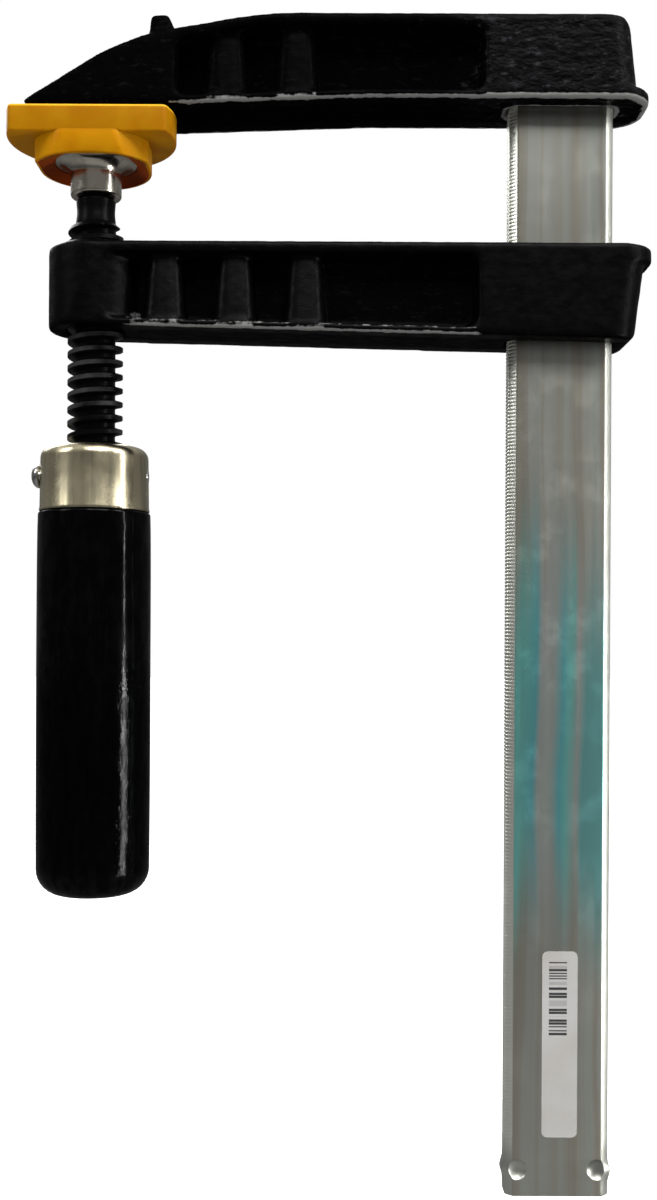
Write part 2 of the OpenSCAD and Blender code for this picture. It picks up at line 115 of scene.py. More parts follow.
class ArmSettings(bpy.types.PropertyGroup):
    """Sizes of the two cast arms."""

    depth: length("Depth", "Depth of both arms from front to back", 26 * MM)
    web: length("Web", "Thickness of the web between the flanges", 9 * MM)
    flange_top: length("Upper flange", "Thickness of the upper flanges", 3 * MM)
    flange_foot: length("Lower flange", "Thickness of the lower flanges", 1.9 * MM)
    head_round: length("Head radius", "Radius of the corners at the rail end", 8 * MM)
    rib_round: length("Rib radius", "Radius of the ribs' upright edges", 3.2 * MM)
    rib_lean: length("Rib lean", "How far the ribs' fronts lean back at the top", 2.6 * MM)
    lump: length("Casting lumps", "Height of the lumps left by the sand mould", 0.07 * MM)
    voxel: length("Surface step", "Grid step of the castings' surfaces", 0.6 * MM)
    passes: count("Softening", "Smoothing passes on the castings' edges", 4, 0)
    jaw_length: length("Jaw length", "Length of the fixed jaw's face beyond the spindle axis", 26 * MM)
    rise: length("Rise", "How far the fixed arm's underside rises towards the rail", 2 * MM)
    rise_end: length("Rise end", "Distance from the spindle axis at which the underside has risen", 80 * MM)


class SpindleSettings(bpy.types.PropertyGroup):
    """Sizes of the threaded spindle."""

    pitch: length("Pitch", "Pitch of the trapezoidal thread", 4 * MM)
    core: length("Core radius", "Radius at the bottom of the thread", 5.8 * MM)
    steps: count("Steps", "Faces round one turn of the thread", 56, 12)


class HandleSettings(bpy.types.PropertyGroup):
    """Sizes of the handle and its ferrule."""

    ferrule_round: length("Ferrule radius", "Radius of the ferrule's top edge", 3.2 * MM)
    ferrule_wall: length("Ferrule wall", "Wall of the ferrule", 1.2 * MM)
    grip_round: length("Grip radius", "Radius of the grip's lower end", 7.5 * MM)
    ripple: length("Lacquer ripple", "Height of the long ripples in the lacquer", 0.05 * MM)


class FinishSettings(bpy.types.PropertyGroup):
    """Colours of the finishes."""

    iron: tint("Black enamel", "Enamel on the cast arms", (0.0007, 0.0007, 0.0008))
    # The pale edge colour stands for rubbed paint and also for a painted highlight along the arms' convex
    # edges
    worn_highlight: tint("Worn and highlighted edge", "Edges where the enamel is rubbed pale", (0.18, 0.18, 0.175))
    zinc: tint("Zinc", "Plating of the rail", (0.50, 0.51, 0.46))
    nickel: tint("Nickel", "Plating of the ferrule", (0.62, 0.555, 0.38))
    steel: tint("Plated steel", "Plating of the pad's plate", (0.66, 0.61, 0.52))
    pin_steel: tint("Pin plating", "Plating of the cross pin", (0.76, 0.76, 0.74))
    black_steel: tint("Black steel", "Blackened steel of the spindle", (0.0015, 0.0015, 0.0016))
    plastic: tint("Plastic", "Moulded cap of the pad", (0.43, 0.188, 0.0025))
    lacquer: tint("Lacquer", "Lacquer on the wooden grip", (0.0003, 0.0003, 0.0004))
    paper: tint("Paper", "Label on the rail", (0.39, 0.385, 0.375))


class StageSettings(bpy.types.PropertyGroup):
    """Camera and studio."""

    distance: length("Camera distance", "Distance of the camera from the middle plane", 400 * MM)
    camera_x: length("Camera place", "Place of the camera along the arms", 68.4 * MM)
    camera_drop: length("Camera drop", "Depth of the camera below the fixed jaw", 152.2 * MM)
    focal_pixels: FloatProperty(name="Focal length", default=1372,
                                description="Focal length in pixels of the photograph")
    axis_row: FloatProperty(name="Axis row", default=641.5,
                            description="Row of the photograph that the camera's axis meets")
    floor_gap: length("Floor gap", "Room below the handle for the arm's travel along the rail", 255 * MM)
    roll: FloatProperty(name="Roll", description="Roll of the camera", default=math.radians(-0.3),
                        subtype="ANGLE")


def settings(name):
    """The scene's settings of one group."""
    return getattr(bpy.context.scene, name)


def finish(name):
    """A colour of the finishes."""
    return tuple(getattr(settings("clamp_finish"), name))


def in_mm(*points):
    """Points given in millimetres, in metres."""
    return [(a * MM, b * MM) for a, b in points]


# Mesh helpers


def soft_corner(bm, vert, offset, segments):
    """Round one corner of an outline."""
    bmesh.ops.bevel(bm, geom=[vert], offset=offset, offset_type="OFFSET", affect="VERTICES",
                    segments=segments, profile=0.5, material=-1)


def soft_edges(bm, edges, offset, segments=3):
    """Round edges of a solid."""
    bmesh.ops.bevel(bm, geom=list(edges), offset=offset, offset_type="OFFSET", affect="EDGES",
                    segments=segments, profile=0.5, material=-1, clamp_overlap=True)


def only(geom, kind):
    """The items of one kind in an operator's result."""
    return [item for item in geom if isinstance(item, kind)]


def prism(points, start, end, axis="Y", rounds=None, segments=6):
    """Solid of an outline of (a, b) points: in X and Z along Y, or in X and Y along Z."""
    bm = bmesh.new()
    if axis == "Y":
        corners = [bm.verts.new((a, start, b)) for a, b in points]
        move = Vector((0, end - start, 0))
    else:
        corners = [bm.verts.new((a, b, start)) for a, b in points]
        move = Vector((0, 0, end - start))
    bm.faces.new(corners)
    for index, offset in (rounds or {}).items():
        soft_corner(bm, corners[index], offset, segments)
    made = bmesh.ops.extrude_face_region(bm, geom=bm.faces[:])
    bmesh.ops.translate(bm, verts=only(made["geom"], bmesh.types.BMVert), vec=move)
    bmesh.ops.recalc_face_normals(bm, faces=bm.faces)
    return bm


def profile_line(points):
    """A line through points of (radius, height), with its corners."""
    bm = bmesh.new()
    corners = [bm.verts.new((radius, 0, height)) for radius, height in points]
    for pair in zip(corners, corners[1:]):
        bm.edges.new(pair)
    return bm, corners


def spin(bm, steps, turns=1, rise=0.0):
    """Spin a line round the Z axis, or along a helix that rises at each step."""
    bmesh.ops.spin(bm, geom=bm.verts[:] + bm.edges[:], cent=(0, 0, 0), axis=(0, 0, 1), dvec=(0, 0, rise),
                   angle=2 * math.pi * turns, steps=steps, use_merge=rise == 0, use_normal_flip=False,
                   use_duplicate=False)


def turned(profile, steps, rounds=None, segments=5):
    """Solid turned round the Z axis from a profile of (radius, height) points."""
    bm, corners = profile_line(profile)
    for index, offset in (rounds or {}).items():
        soft_corner(bm, corners[index], offset, segments)
    spin(bm, steps)
    bmesh.ops.remove_doubles(bm, verts=bm.verts, dist=TINY)
    bmesh.ops.recalc_face_normals(bm, faces=bm.faces)
    return bm


def dome(radius, height, centre, start, steps):
    """Profile points of a dome from an angle in degrees to its pole."""
    points = []
    for step in range(steps):
        angle = math.radians(start + (90 - start) * step / steps)
        points.append((radius * math.cos(angle), centre + height * math.sin(angle)))
    points.append((0.0, centre + height))
    return points


def block(low, high):
    """Box between two corners."""
    bm = bmesh.new()
    size = Vector(high) - Vector(low)
    middle = (Vector(high) + Vector(low)) / 2
    bmesh.ops.create_cube(bm, size=1.0, matrix=Matrix.Translation(middle) @ Matrix.Diagonal((*size, 1.0)))
    return bm


def join(bm, *others):
    """Add the meshes of the others to the first one."""
    for other in others:
        mesh = bpy.data.meshes.new("part")
        other.to_mesh(mesh)
        other.free()
        bm.from_mesh(mesh)
        bpy.data.meshes.remove(mesh)
    return bm


def to_object(name, bm):
    """Turn a bmesh into an object of the scene."""
    mesh = bpy.data.meshes.new(name)
    bm.to_mesh(mesh)
    bm.free()
    obj = bpy.data.objects.new(name, mesh)
    bpy.context.scene.collection.objects.link(obj)
    return obj


def discard(obj):
    """Remove an object and its mesh."""
    mesh = obj.data
    bpy.data.objects.remove(obj)
    bpy.data.meshes.remove(mesh)


def modified(bm, add_modifiers):
    """The mesh of a bmesh after modifiers, as a new bmesh."""
    holder = to_object("blank", bm)
    add_modifiers(holder)
    graph = bpy.context.evaluated_depsgraph_get()
    result = bpy.data.meshes.new_from_object(holder.evaluated_get(graph))
    out = bmesh.new()
    out.from_mesh(result)
    discard(holder)
    bpy.data.meshes.remove(result)
    return out


def cut(bm, *cutters, operation="DIFFERENCE"):
    """Cut solids out of a solid, join them to it or keep only what it shares with them."""
    tools = [to_object("cutter", cutter) for cutter in cutters]

    def booleans(holder):
        for tool in tools:
            modifier = holder.modifiers.new("cut", "BOOLEAN")
            modifier.operation = operation
            modifier.solver = "EXACT"
            modifier.object = tool

    out = modified(bm, booleans)
    for tool in tools:
        discard(tool)
    return out


def shade(bm, degrees):
    """Smooth shading, sharp along edges above an angle."""
    limit = math.radians(degrees)
    for face in bm.faces:
        face.smooth = True
    for edge in bm.edges:
        edge.smooth = len(edge.link_faces) == 2 and edge.calc_face_angle(0.0) < limit


def piece(name, bm, material, body, nodes, degrees):
    """Finish a mesh as an object that rides on a body."""
    shade(bm, degrees)
    obj = to_object(name, bm)
    obj.data.materials.append(material)
    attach(obj, body)
    if nodes:
        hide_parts(*nodes)
    return obj


def rail_section(clear=0.0):
    """Outline of the rail's section in X and Y, grown by a clearance."""
    rail = settings("clamp_rail")
    half = rail.width / 2 + clear
    deep = rail.thickness / 2 + clear
    inner = half - rail.bevel_width
    side = deep - rail.bevel_depth
    section = [(half, -side), (half, side), (inner, deep), (-inner, deep),
               (-half, side), (-half, -side), (-inner, -deep), (inner, -deep)]
    return [(RAIL_MIDDLE + x, y) for x, y in section]


# Casting helpers


def round_head(bm, foot, tail, arm):
    """Keep an arm inside its depth, with round corners at its leaning end."""
    y = arm.depth / 2
    low, high = sorted((foot[1], tail[1]))
    far = -60 * MM
    margin = 20 * MM
    clear = 0.05 * MM
    plan = prism([(far, -y), (foot[0], -y), (foot[0], y), (far, y)], low - margin, high + margin, "Z",
                 {1: arm.head_round, 2: arm.head_round}, 8)
    lean = (tail[0] - foot[0]) / (tail[1] - foot[1])
    for vert in plan.verts:
        vert.co.x += clear + lean * (vert.co.z - foot[1])
    return cut(bm, plan, operation="INTERSECT")


def recess_cutter(outline, side, arm):
    """Cutter for the hollow between the flanges on one side, wider towards the front."""
    corner_radius = 3 * MM
    past_front = 1 * MM
    taper = (0.98, 1.0, 0.88)
    web = side * arm.web / 2
    front = side * (arm.depth / 2 + past_front)
    bm = prism(outline, web, front, rounds={index: corner_radius for index in range(len(outline))})
    middle = Vector((sum(a for a, _ in outline), 0, sum(b for _, b in outline))) / len(outline)
    inner = [vert for vert in bm.verts if abs(vert.co.y - web) < TINY]
    bmesh.ops.scale(bm, vec=taper, space=Matrix.Translation(-middle), verts=inner)
    return bm


def rib(x, width, under, over, arm):
    """Column through the web that stands out as a rounded rib on both sides, leaning back towards its top."""
    foot = under + 0.3 * MM
    top = over - 2 * MM
    out = arm.depth / 2 - 0.1 * MM
    foot_share = 1.18
    top_loss = 0.32
    bm = block((x - width / 2, -out, foot), (x + width / 2, out, top))
    upright = [edge for edge in bm.edges if abs(edge.verts[0].co.z - edge.verts[1].co.z) > TINY]
    soft_edges(bm, upright, arm.rib_round, 6)
    for vert in bm.verts:
        rise = (vert.co.z - foot) / (top - foot)
        vert.co.x = x + (vert.co.x - x) * (foot_share - top_loss * rise)
        vert.co.y *= 1.0 - rise * arm.rib_lean / out
    return bm


def rail_lip(start, end, low, high, arm):
    """Flat lip at an arm's rail end, with round corners."""
    y = arm.depth / 2
    corner_radius = 10 * MM
    bm = block((start, -y, low), (end, y, high))
    corners = [edge for edge in bm.edges if all(vert.co.x > end - TINY for vert in edge.verts)
               and abs(edge.verts[0].co.y - edge.verts[1].co.y) < TINY]
    soft_edges(bm, corners, corner_radius, 8)
    return bm


def remeshed(bm, step):
    """One closed skin round all solids of a bmesh, on a grid of a step."""

    def remesh(holder):
        modifier = holder.modifiers.new("remesh", "REMESH")
        modifier.mode = "VOXEL"
        modifier.voxel_size = step
        modifier.adaptivity = 0.0

    return modified(bm, remesh)


def cast(bm, cutter, arm):
    """Fuse overlapping solids, cut the openings and give the casting soft edges, fillets and lumps."""
    fused = remeshed(bm, arm.voxel * 0.75)
    out = remeshed(cut(fused, cutter), arm.voxel)
    for _ in range(arm.passes):
        bmesh.ops.smooth_vert(out, verts=out.verts, factor=0.5, use_axis_x=True, use_axis_y=True,
                              use_axis_z=True)
    out.normal_update()
    waves_per_metre = 260
    for vert in out.verts:
        wave = noise.fractal(vert.co * waves_per_metre, 1.0, 2.0, 3)
        vert.co += vert.normal * arm.lump * wave
    return out


def fade(distance, width, least=0.0):
    """Share that grows to 1 over a width."""
    return np.clip(distance / width, least, 1.0)


def rib_foot(along, above, x, width):
    """Weight of the pale patch at a rib's foot, partly rubbed paint and partly painted highlight."""
    margin = 0.8 * MM
    height = 1.7 * MM
    near = fade(width / 2 + margin - np.abs(along - x), margin)
    return 0.5 * near * fade(height - above, 0.5 * MM)


def read_rows(items, key, width, kind=float):
    """A value of all items of a mesh, one row for each item."""
    rows = np.empty(len(items) * width, dtype=kind)
    items.foreach_get(key, rows)
    return rows.reshape(-1, width)


def edge_mask(obj, weight, spots=None):
    """Mark in the attribute "edge" how far each point stands out, weighted by place, with added spots."""
    passes = 14
    fully_out = 0.16 * MM
    mesh = obj.data
    total = len(mesh.vertices)
    points = read_rows(mesh.vertices, "co", 3)
    normals = read_rows(mesh.vertices, "normal", 3)
    ends = read_rows(mesh.edges, "vertices", 2, np.int64)
    degree = np.bincount(ends.ravel(), minlength=total)
    smooth = points.copy()
    for _ in range(passes):
        around = np.zeros_like(smooth)
        for axis in range(3):
            around[:, axis] = np.bincount(ends[:, 0], smooth[ends[:, 1], axis], total)
            around[:, axis] += np.bincount(ends[:, 1], smooth[ends[:, 0], axis], total)
        smooth = 0.5 * smooth + 0.5 * around / degree[:, None]
    proud = ((points - smooth) * normals).sum(axis=1) / fully_out
    mask = np.clip(proud, 0.0, 1.0) * weight(points)
    if spots:
        mask = np.maximum(mask, spots(points))
    mesh.attributes.new("edge", "FLOAT", "POINT").data.foreach_set("value", mask.astype(np.float32))


# Node helpers


def add(tree, kind, inputs=None, **values):
    """Add a node, set its values and feed its inputs from sockets or constants."""
    node = tree.nodes.new(kind)
    for key, value in values.items():
        setattr(node, key, value)
    for key, value in (inputs or {}).items():
        if isinstance(value, bpy.types.NodeSocket):
            tree.links.new(value, node.inputs[key])
        else:
            node.inputs[key].default_value = value
    return node


def split(tree, vector):
    """The X, Y and Z of a vector."""
    return add(tree, "ShaderNodeSeparateXYZ", {"Vector": vector}).outputs


def combine(tree, **axes):
    """A vector of the X, Y and Z that are given."""
    return add(tree, "ShaderNodeCombineXYZ", axes).outputs["Vector"]


def grain(tree, vector, scale, detail, rough=0.55, stretch=None):
    """Noise on a vector, stretched along the axes where asked."""
    if stretch:
        vector = add(tree, "ShaderNodeMapping", {"Vector": vector, "Scale": stretch}).outputs["Vector"]
    inputs = {"Vector": vector, "Scale": scale, "Detail": detail, "Roughness": rough}
    return add(tree, "ShaderNodeTexNoise", inputs).outputs["Fac"]


def remap(tree, value, low, high, to_low=0.0, to_high=1.0, kind="SMOOTHSTEP"):
    """Map a value from one range to another."""
    inputs = {"Value": value, "From Min": low, "From Max": high, "To Min": to_low, "To Max": to_high}
    return add(tree, "ShaderNodeMapRange", inputs, interpolation_type=kind).outputs["Result"]


def spread(tree, value, low=0.0, high=1.0):
    """Spread noise, most of which lies between 0.3 and 0.7, over a range."""
    return remap(tree, value, 0.3, 0.7, low, high)


def calc(tree, operation, first, second=0.0):
    """One step of arithmetic."""
    return add(tree, "ShaderNodeMath", {0: first, 1: second}, operation=operation).outputs[0]


def product(tree, first, *others):
    """Product of several values."""
    for other in others:
        first = calc(tree, "MULTIPLY", first, other)
    return first


def swing(tree, value, reach):
    """Noise as a swing to both sides of zero."""
    return product(tree, calc(tree, "SUBTRACT", value, 0.5), reach)


def vector_calc(tree, operation, *vectors):
    """One step of vector arithmetic."""
    return add(tree, "ShaderNodeVectorMath", dict(enumerate(vectors)), operation=operation).outputs


def blend(tree, factor, first, second, kind="MIX"):
    """Mix two colours."""
    first, second = [(*colour, 1.0) if isinstance(colour, tuple) else colour for colour in (first, second)]
    node = add(tree, "ShaderNodeMix", {0: factor, 6: first, 7: second}, data_type="RGBA", blend_type=kind)
    return node.outputs[2]


def dim(tree, colour, share):
    """Multiply a colour by a value."""
    return blend(tree, 1.0, colour, share, "MULTIPLY")


def grey(level):
    """A grey of a level."""
    return (level,) * 3


def toned(colour, shares):
    """A colour with its channels times one share each."""
    return tuple(channel * share for channel, share in zip(colour, shares))


def ramp(tree, value, stops, interpolation="EASE"):
    """Colours along a value."""
    node = add(tree, "ShaderNodeValToRGB", {"Fac": value})
    band = node.color_ramp
    band.interpolation = interpolation
    while len(band.elements) < len(stops):
        band.elements.new(0.5)
    for element, (place, colour) in zip(band.elements, stops):
        element.position = place
        element.color = (*colour, 1.0)
    return node.outputs["Color"]


def bump(tree, height, distance, strength, under=None):
    """A bump of a height, on top of another normal where one is given."""
    inputs = {"Height": height, "Distance": distance, "Strength": strength}
    if under is not None:
        inputs["Normal"] = under
    return add(tree, "ShaderNodeBump", inputs).outputs["Normal"]


def new_material(name, **constants):
    """A material with its shader, and the object coordinates that its nodes read."""
    material = bpy.data.materials.new(name)
    material.use_nodes = True
    tree = material.node_tree
    shader = tree.nodes["Principled BSDF"]
    for key, value in constants.items():
        socket = shader.inputs[key.replace("_", " ")]
        socket.default_value = (*value, 1.0) if socket.type == "RGBA" else value
    place = add(tree, "ShaderNodeTexCoord").outputs["Object"]
    return material, tree, shader, place


def feed(tree, shader, **sockets):
    """Link sockets to the shader's inputs."""
    for key, socket in sockets.items():
        tree.links.new(socket, shader.inputs[key.replace("_", " ")])


# Effects that several materials use


def shader_group(name, inputs, outputs, build):
    """A node group, built once: its inputs have a default value, or None where they take a vector."""
    if name in bpy.data.node_groups:
        return bpy.data.node_groups[name]
    tree = bpy.data.node_groups.new(name, "ShaderNodeTree")
    for label, default in inputs.items():
        kind = "NodeSocketVector" if default is None else "NodeSocketFloat"
        socket = tree.interface.new_socket(name=label, in_out="INPUT", socket_type=kind)
        if default is not None:
            socket.default_value = default
    for label in outputs:
        tree.interface.new_socket(name=label, in_out="OUTPUT", socket_type="NodeSocketFloat")
    start = tree.nodes.new("NodeGroupInput").outputs
    end = tree.nodes.new("NodeGroupOutput").inputs
    for label, socket in zip(outputs, build(tree, start)):
        tree.links.new(socket, end[label])
    return tree


def use_group(tree, group, **inputs):
    """Place a node group and give its outputs."""
    labelled = {key.replace("_", " "): value for key, value in inputs.items()}
    return add(tree, "ShaderNodeGroup", labelled, node_tree=group).outputs


def streak_group():
    """Long streaks and fine scratches along Z, as on drawn and plated steel, and soft blotches."""

    def build(tree, start):
        squeeze = combine(tree, X=1.0, Y=1.0, Z=start["Length"])
        along = vector_calc(tree, "MULTIPLY", start["Vector"], squeeze)["Vector"]
        coarse, fine, soft = [product(tree, start["Scale"], scale) for scale in (260.0, 2600.0, 120.0)]
        return (grain(tree, along, coarse, 3.0, 0.5), grain(tree, along, fine, 2.0, 0.6),
                grain(tree, start["Vector"], soft, 4.0, 0.6))

    return shader_group("streaks", {"Vector": None, "Scale": 1.0, "Length": 0.02},
                        ("Streaks", "Scratches", "Blotches"), build)


def wear_highlight_group():
    """Mask of pale edges, partly rubbed paint and partly painted highlight, broken up by noise, from the
    attribute that marks the edges.
    """

    def build(tree, start):
        rough = grain(tree, start["Vector"], start["Scale"], 5.0, 0.65)
        broken = product(tree, swing(tree, rough, start["Break up"]), 2.0)
        gate = remap(tree, calc(tree, "ADD", start["Edge"], broken), 0.42, 0.78)
        present = remap(tree, start["Edge"], 0.12, 0.4)
        return (product(tree, gate, present),)

    return shader_group("edge wear", {"Vector": None, "Edge": 0.0, "Break up": 0.6, "Scale": 300.0},
                        ("Wear",), build)


def speck_group():
    """Fine specks and soft unevenness of a moulded or lacquered surface."""

    def build(tree, start):
        fine, soft = [product(tree, start["Scale"], scale) for scale in (2400.0, 130.0)]
        return (grain(tree, start["Vector"], fine, 2.0, 0.6), grain(tree, start["Vector"], soft, 3.0, 0.5))

    return shader_group("specks", {"Vector": None, "Scale": 1.0}, ("Specks", "Unevenness"), build)


# Materials


def enamel(name, lumpy, dull_end, gloss):
    """Black enamel on rough cast iron: pale on rubbed edges, partly wear and partly painted highlight; lumpy
    and flecked on the head, with the flecks kept off the recess as painted shade; its specular level lowered
    in the recess, on undersides and up to a place, also as painted shade.
    """
    head_run = (100 * MM, 116 * MM)
    flange_run = (5.5 * MM, 9 * MM)
    dull_run = (dull_end - 12 * MM, dull_end)
    material, tree, shader, place = new_material(name)
    axes = split(tree, place)
    edge = add(tree, "ShaderNodeAttribute", attribute_name="edge").outputs["Fac"]
    wear_highlight = use_group(tree, wear_highlight_group(), Vector=place, Edge=edge, Break_up=0.75, Scale=420.0)["Wear"]
    head = remap(tree, axes["X"], *head_run, 0.1, lumpy)
    lumps = grain(tree, place, 300.0, 4.0, 0.6, stretch=(0.7, 1.0, 1.3))
    pits = grain(tree, place, 1500.0, 3.0, 0.6)
    flecks = remap(tree, grain(tree, place, 520.0, 5.0, 0.7, stretch=(0.6, 1.0, 1.4)), 0.54, 0.72)
    black = finish("iron")
    # Pale flecks only on the head: keeping them off the recess, ribs and nose is painted shade there
    base = blend(tree, product(tree, flecks, head), black, toned(black, grey(44)))
    # Pale edges: partly rubbed paint and partly a painted highlight along the convex edges
    feed(tree, shader, Base_Color=blend(tree, wear_highlight, base, finish("worn_highlight")))
    up = split(tree, add(tree, "ShaderNodeTexCoord").outputs["Normal"])["Z"]
    # Painted shade: the specular level drops in the recess between the flanges, up to a place along the arm
    # and on faces that look down
    sheen = remap(tree, calc(tree, "ABSOLUTE", axes["Y"]), *flange_run, 0.25 * gloss, gloss)
    along = remap(tree, axes["X"], *dull_run, 0.22, 1.0)
    below = remap(tree, up, -0.8, -0.4, 0.3, 1.0)
    feed(tree, shader, Specular_IOR_Level=product(tree, sheen, along, below))
    worn_rough = remap(tree, wear_highlight, 0.0, 1.0, 0.0, 0.12)
    feed(tree, shader, Roughness=calc(tree, "ADD", spread(tree, lumps, 0.30, 0.46), worn_rough))
    low = bump(tree, lumps, 0.8 * MM, head)
    feed(tree, shader, Normal=bump(tree, pits, 0.05 * MM, 0.5, low))
    return material


def film_colours(tree, place, across):
    """Bands of faint interference colours across the rail, with patches of rose."""
    teal = (0.165, 0.78, 0.745)
    blue = (0.175, 0.735, 0.79)
    mauve = (0.60, 0.66, 0.63)
    brown = (0.62, 0.69, 0.64)
    green = (0.245, 0.82, 0.755)
    dusk = (0.17, 0.55, 0.54)
    rose = (0.66, 0.50, 0.58)
    off, on = grey(0.0), grey(1.0)
    bands = ramp(tree, across, [
        (0.0, teal), (0.12, green), (0.22, blue), (0.31, mauve), (0.40, brown), (0.50, blue),
        (0.57, green), (0.66, mauve), (0.75, dusk), (0.84, dusk), (1.0, dusk)], "LINEAR")
    lanes = ramp(tree, across, [
        (0.27, off), (0.33, on), (0.39, off), (0.61, off), (0.66, on), (0.71, off)], "LINEAR")
    patches = remap(tree, grain(tree, place, 34.0, 3.0, 0.5, stretch=(1.0, 1.0, 0.4)), 0.42, 0.62, 0.0, 0.6)
    return blend(tree, product(tree, lanes, patches), bands, rose)


def plain_zinc(tree, column):
    """Zinc in lanes of olive and sage along the rail."""
    zinc = finish("zinc")
    olive = toned(zinc, (0.86, 0.80, 0.74))
    sage = toned(zinc, (0.96, 1.03, 1.0))
    lanes = grain(tree, combine(tree, X=column), 240.0, 2.0, 0.5)
    return ramp(tree, lanes, [(0.40, olive), (0.56, zinc), (0.68, sage)])


def bevel_zinc_lit(tree, axes):
    """Zinc of the bevels and dents, brightened as a painted highlight, less so towards the outer edge and at
    the stops, and darkened at the rail's top end as painted shade.
    """
    bevel_highlight_run = (125 * MM, 145 * MM)
    stop_shade_run = (-302 * MM, -294 * MM)
    head_run = (5 * MM, 15 * MM)
    # Painted highlight on the bevels, lessened at the stops; painted shade at the rail's top end
    outer = remap(tree, axes["X"], *bevel_highlight_run, 1.9, 1.25)
    stops = remap(tree, axes["Z"], *stop_shade_run, 0.62, 1.0)
    head = remap(tree, axes["Z"], *head_run, 1.0, 0.3)
    return dim(tree, finish("zinc"), product(tree, outer, stops, head))


def rail_zinc():
    """Zinc plating with lengthwise streaks and faint interference colours over the middle of the rail,
    painted darker towards the arms as painted shade and paler towards the foot as painted light.
    """
    film_width = (120 * MM, 150 * MM)
    film_top = (-166 * MM, -108 * MM)
    film_foot = (-250 * MM, -204 * MM)
    arm_shade_top = (-110 * MM, -30 * MM)
    lit_foot = (-235 * MM, -175 * MM)
    face_run = (4.25 * MM, 4.45 * MM)
    material, tree, shader, place = new_material("zinc plating", Metallic=1.0)
    marks = use_group(tree, streak_group(), Vector=place, Scale=1.0, Length=0.012)
    axes = split(tree, place)
    wander = swing(tree, grain(tree, place, 9.0, 2.0, 0.5), 9 * MM)
    ripple = swing(tree, marks["Streaks"], 5 * MM)
    column = calc(tree, "ADD", calc(tree, "ADD", axes["X"], wander), ripple)
    film = film_colours(tree, place, remap(tree, column, *film_width, kind="LINEAR"))
    height = calc(tree, "ADD", axes["Z"], swing(tree, marks["Streaks"], 60 * MM))
    strength = product(tree, remap(tree, height, *film_top, 1.0, 0.0), remap(tree, height, *film_foot), 0.85)
    face = blend(tree, strength, plain_zinc(tree, column), film)
    # Painted shade: the face darkens towards the arms, whose black undersides it mirrors; painted light: it
    # pales towards the foot
    light = remap(tree, height, *arm_shade_top, 1.0, 0.55)
    face = dim(tree, face, product(tree, light, remap(tree, height, *lit_foot, 1.14, 1.0)))
    on_face = remap(tree, calc(tree, "ABSOLUTE", axes["Y"]), *face_run)
    feed(tree, shader, Base_Color=blend(tree, on_face, bevel_zinc_lit(tree, axes), face))
    scuffs = remap(tree, marks["Blotches"], 0.45, 0.75, 0.0, 0.06)
    feed(tree, shader, Roughness=calc(tree, "ADD", spread(tree, marks["Streaks"], 0.33, 0.37), scuffs))
    feed(tree, shader, Normal=bump(tree, marks["Scratches"], 0.012 * MM, 0.5))
    return material


def plated(name, colour, roughness, scale, length_ratio, depth):
    """Bright plating with drawn lines and soft dark patches."""
    material, tree, shader, place = new_material(name, Metallic=1.0)
    marks = use_group(tree, streak_group(), Vector=place, Scale=scale, Length=length_ratio)
    dull = toned(colour, grey(0.62))
    feed(tree, shader, Base_Color=ramp(tree, marks["Streaks"], [(0.32, dull), (0.62, colour)]))
    feed(tree, shader, Roughness=spread(tree, marks["Blotches"], *roughness))
    feed(tree, shader, Normal=bump(tree, marks["Scratches"], depth, 0.4))
    return material


def black_oxide():
    """Blackened, lightly oiled steel with paler thread crests."""
    crest_run = (7.7 * MM, 8.0 * MM)
    material, tree, shader, place = new_material("black oxide", Specular_IOR_Level=0.05)
    axes = split(tree, place)
    radius = vector_calc(tree, "LENGTH", combine(tree, X=axes["X"], Y=axes["Y"]))["Value"]
    marks = use_group(tree, speck_group(), Vector=place, Scale=0.8)
    crest = remap(tree, radius, *crest_run, 0.0, 0.3)
    rubbed = product(tree, crest, remap(tree, marks["Unevenness"], 0.35, 0.7))
    feed(tree, shader, Base_Color=blend(tree, rubbed, finish("black_steel"), grey(0.10)))
    feed(tree, shader, Roughness=spread(tree, marks["Unevenness"], 0.26, 0.42))
    feed(tree, shader, Normal=bump(tree, marks["Specks"], 0.02 * MM, 0.4))
    return material


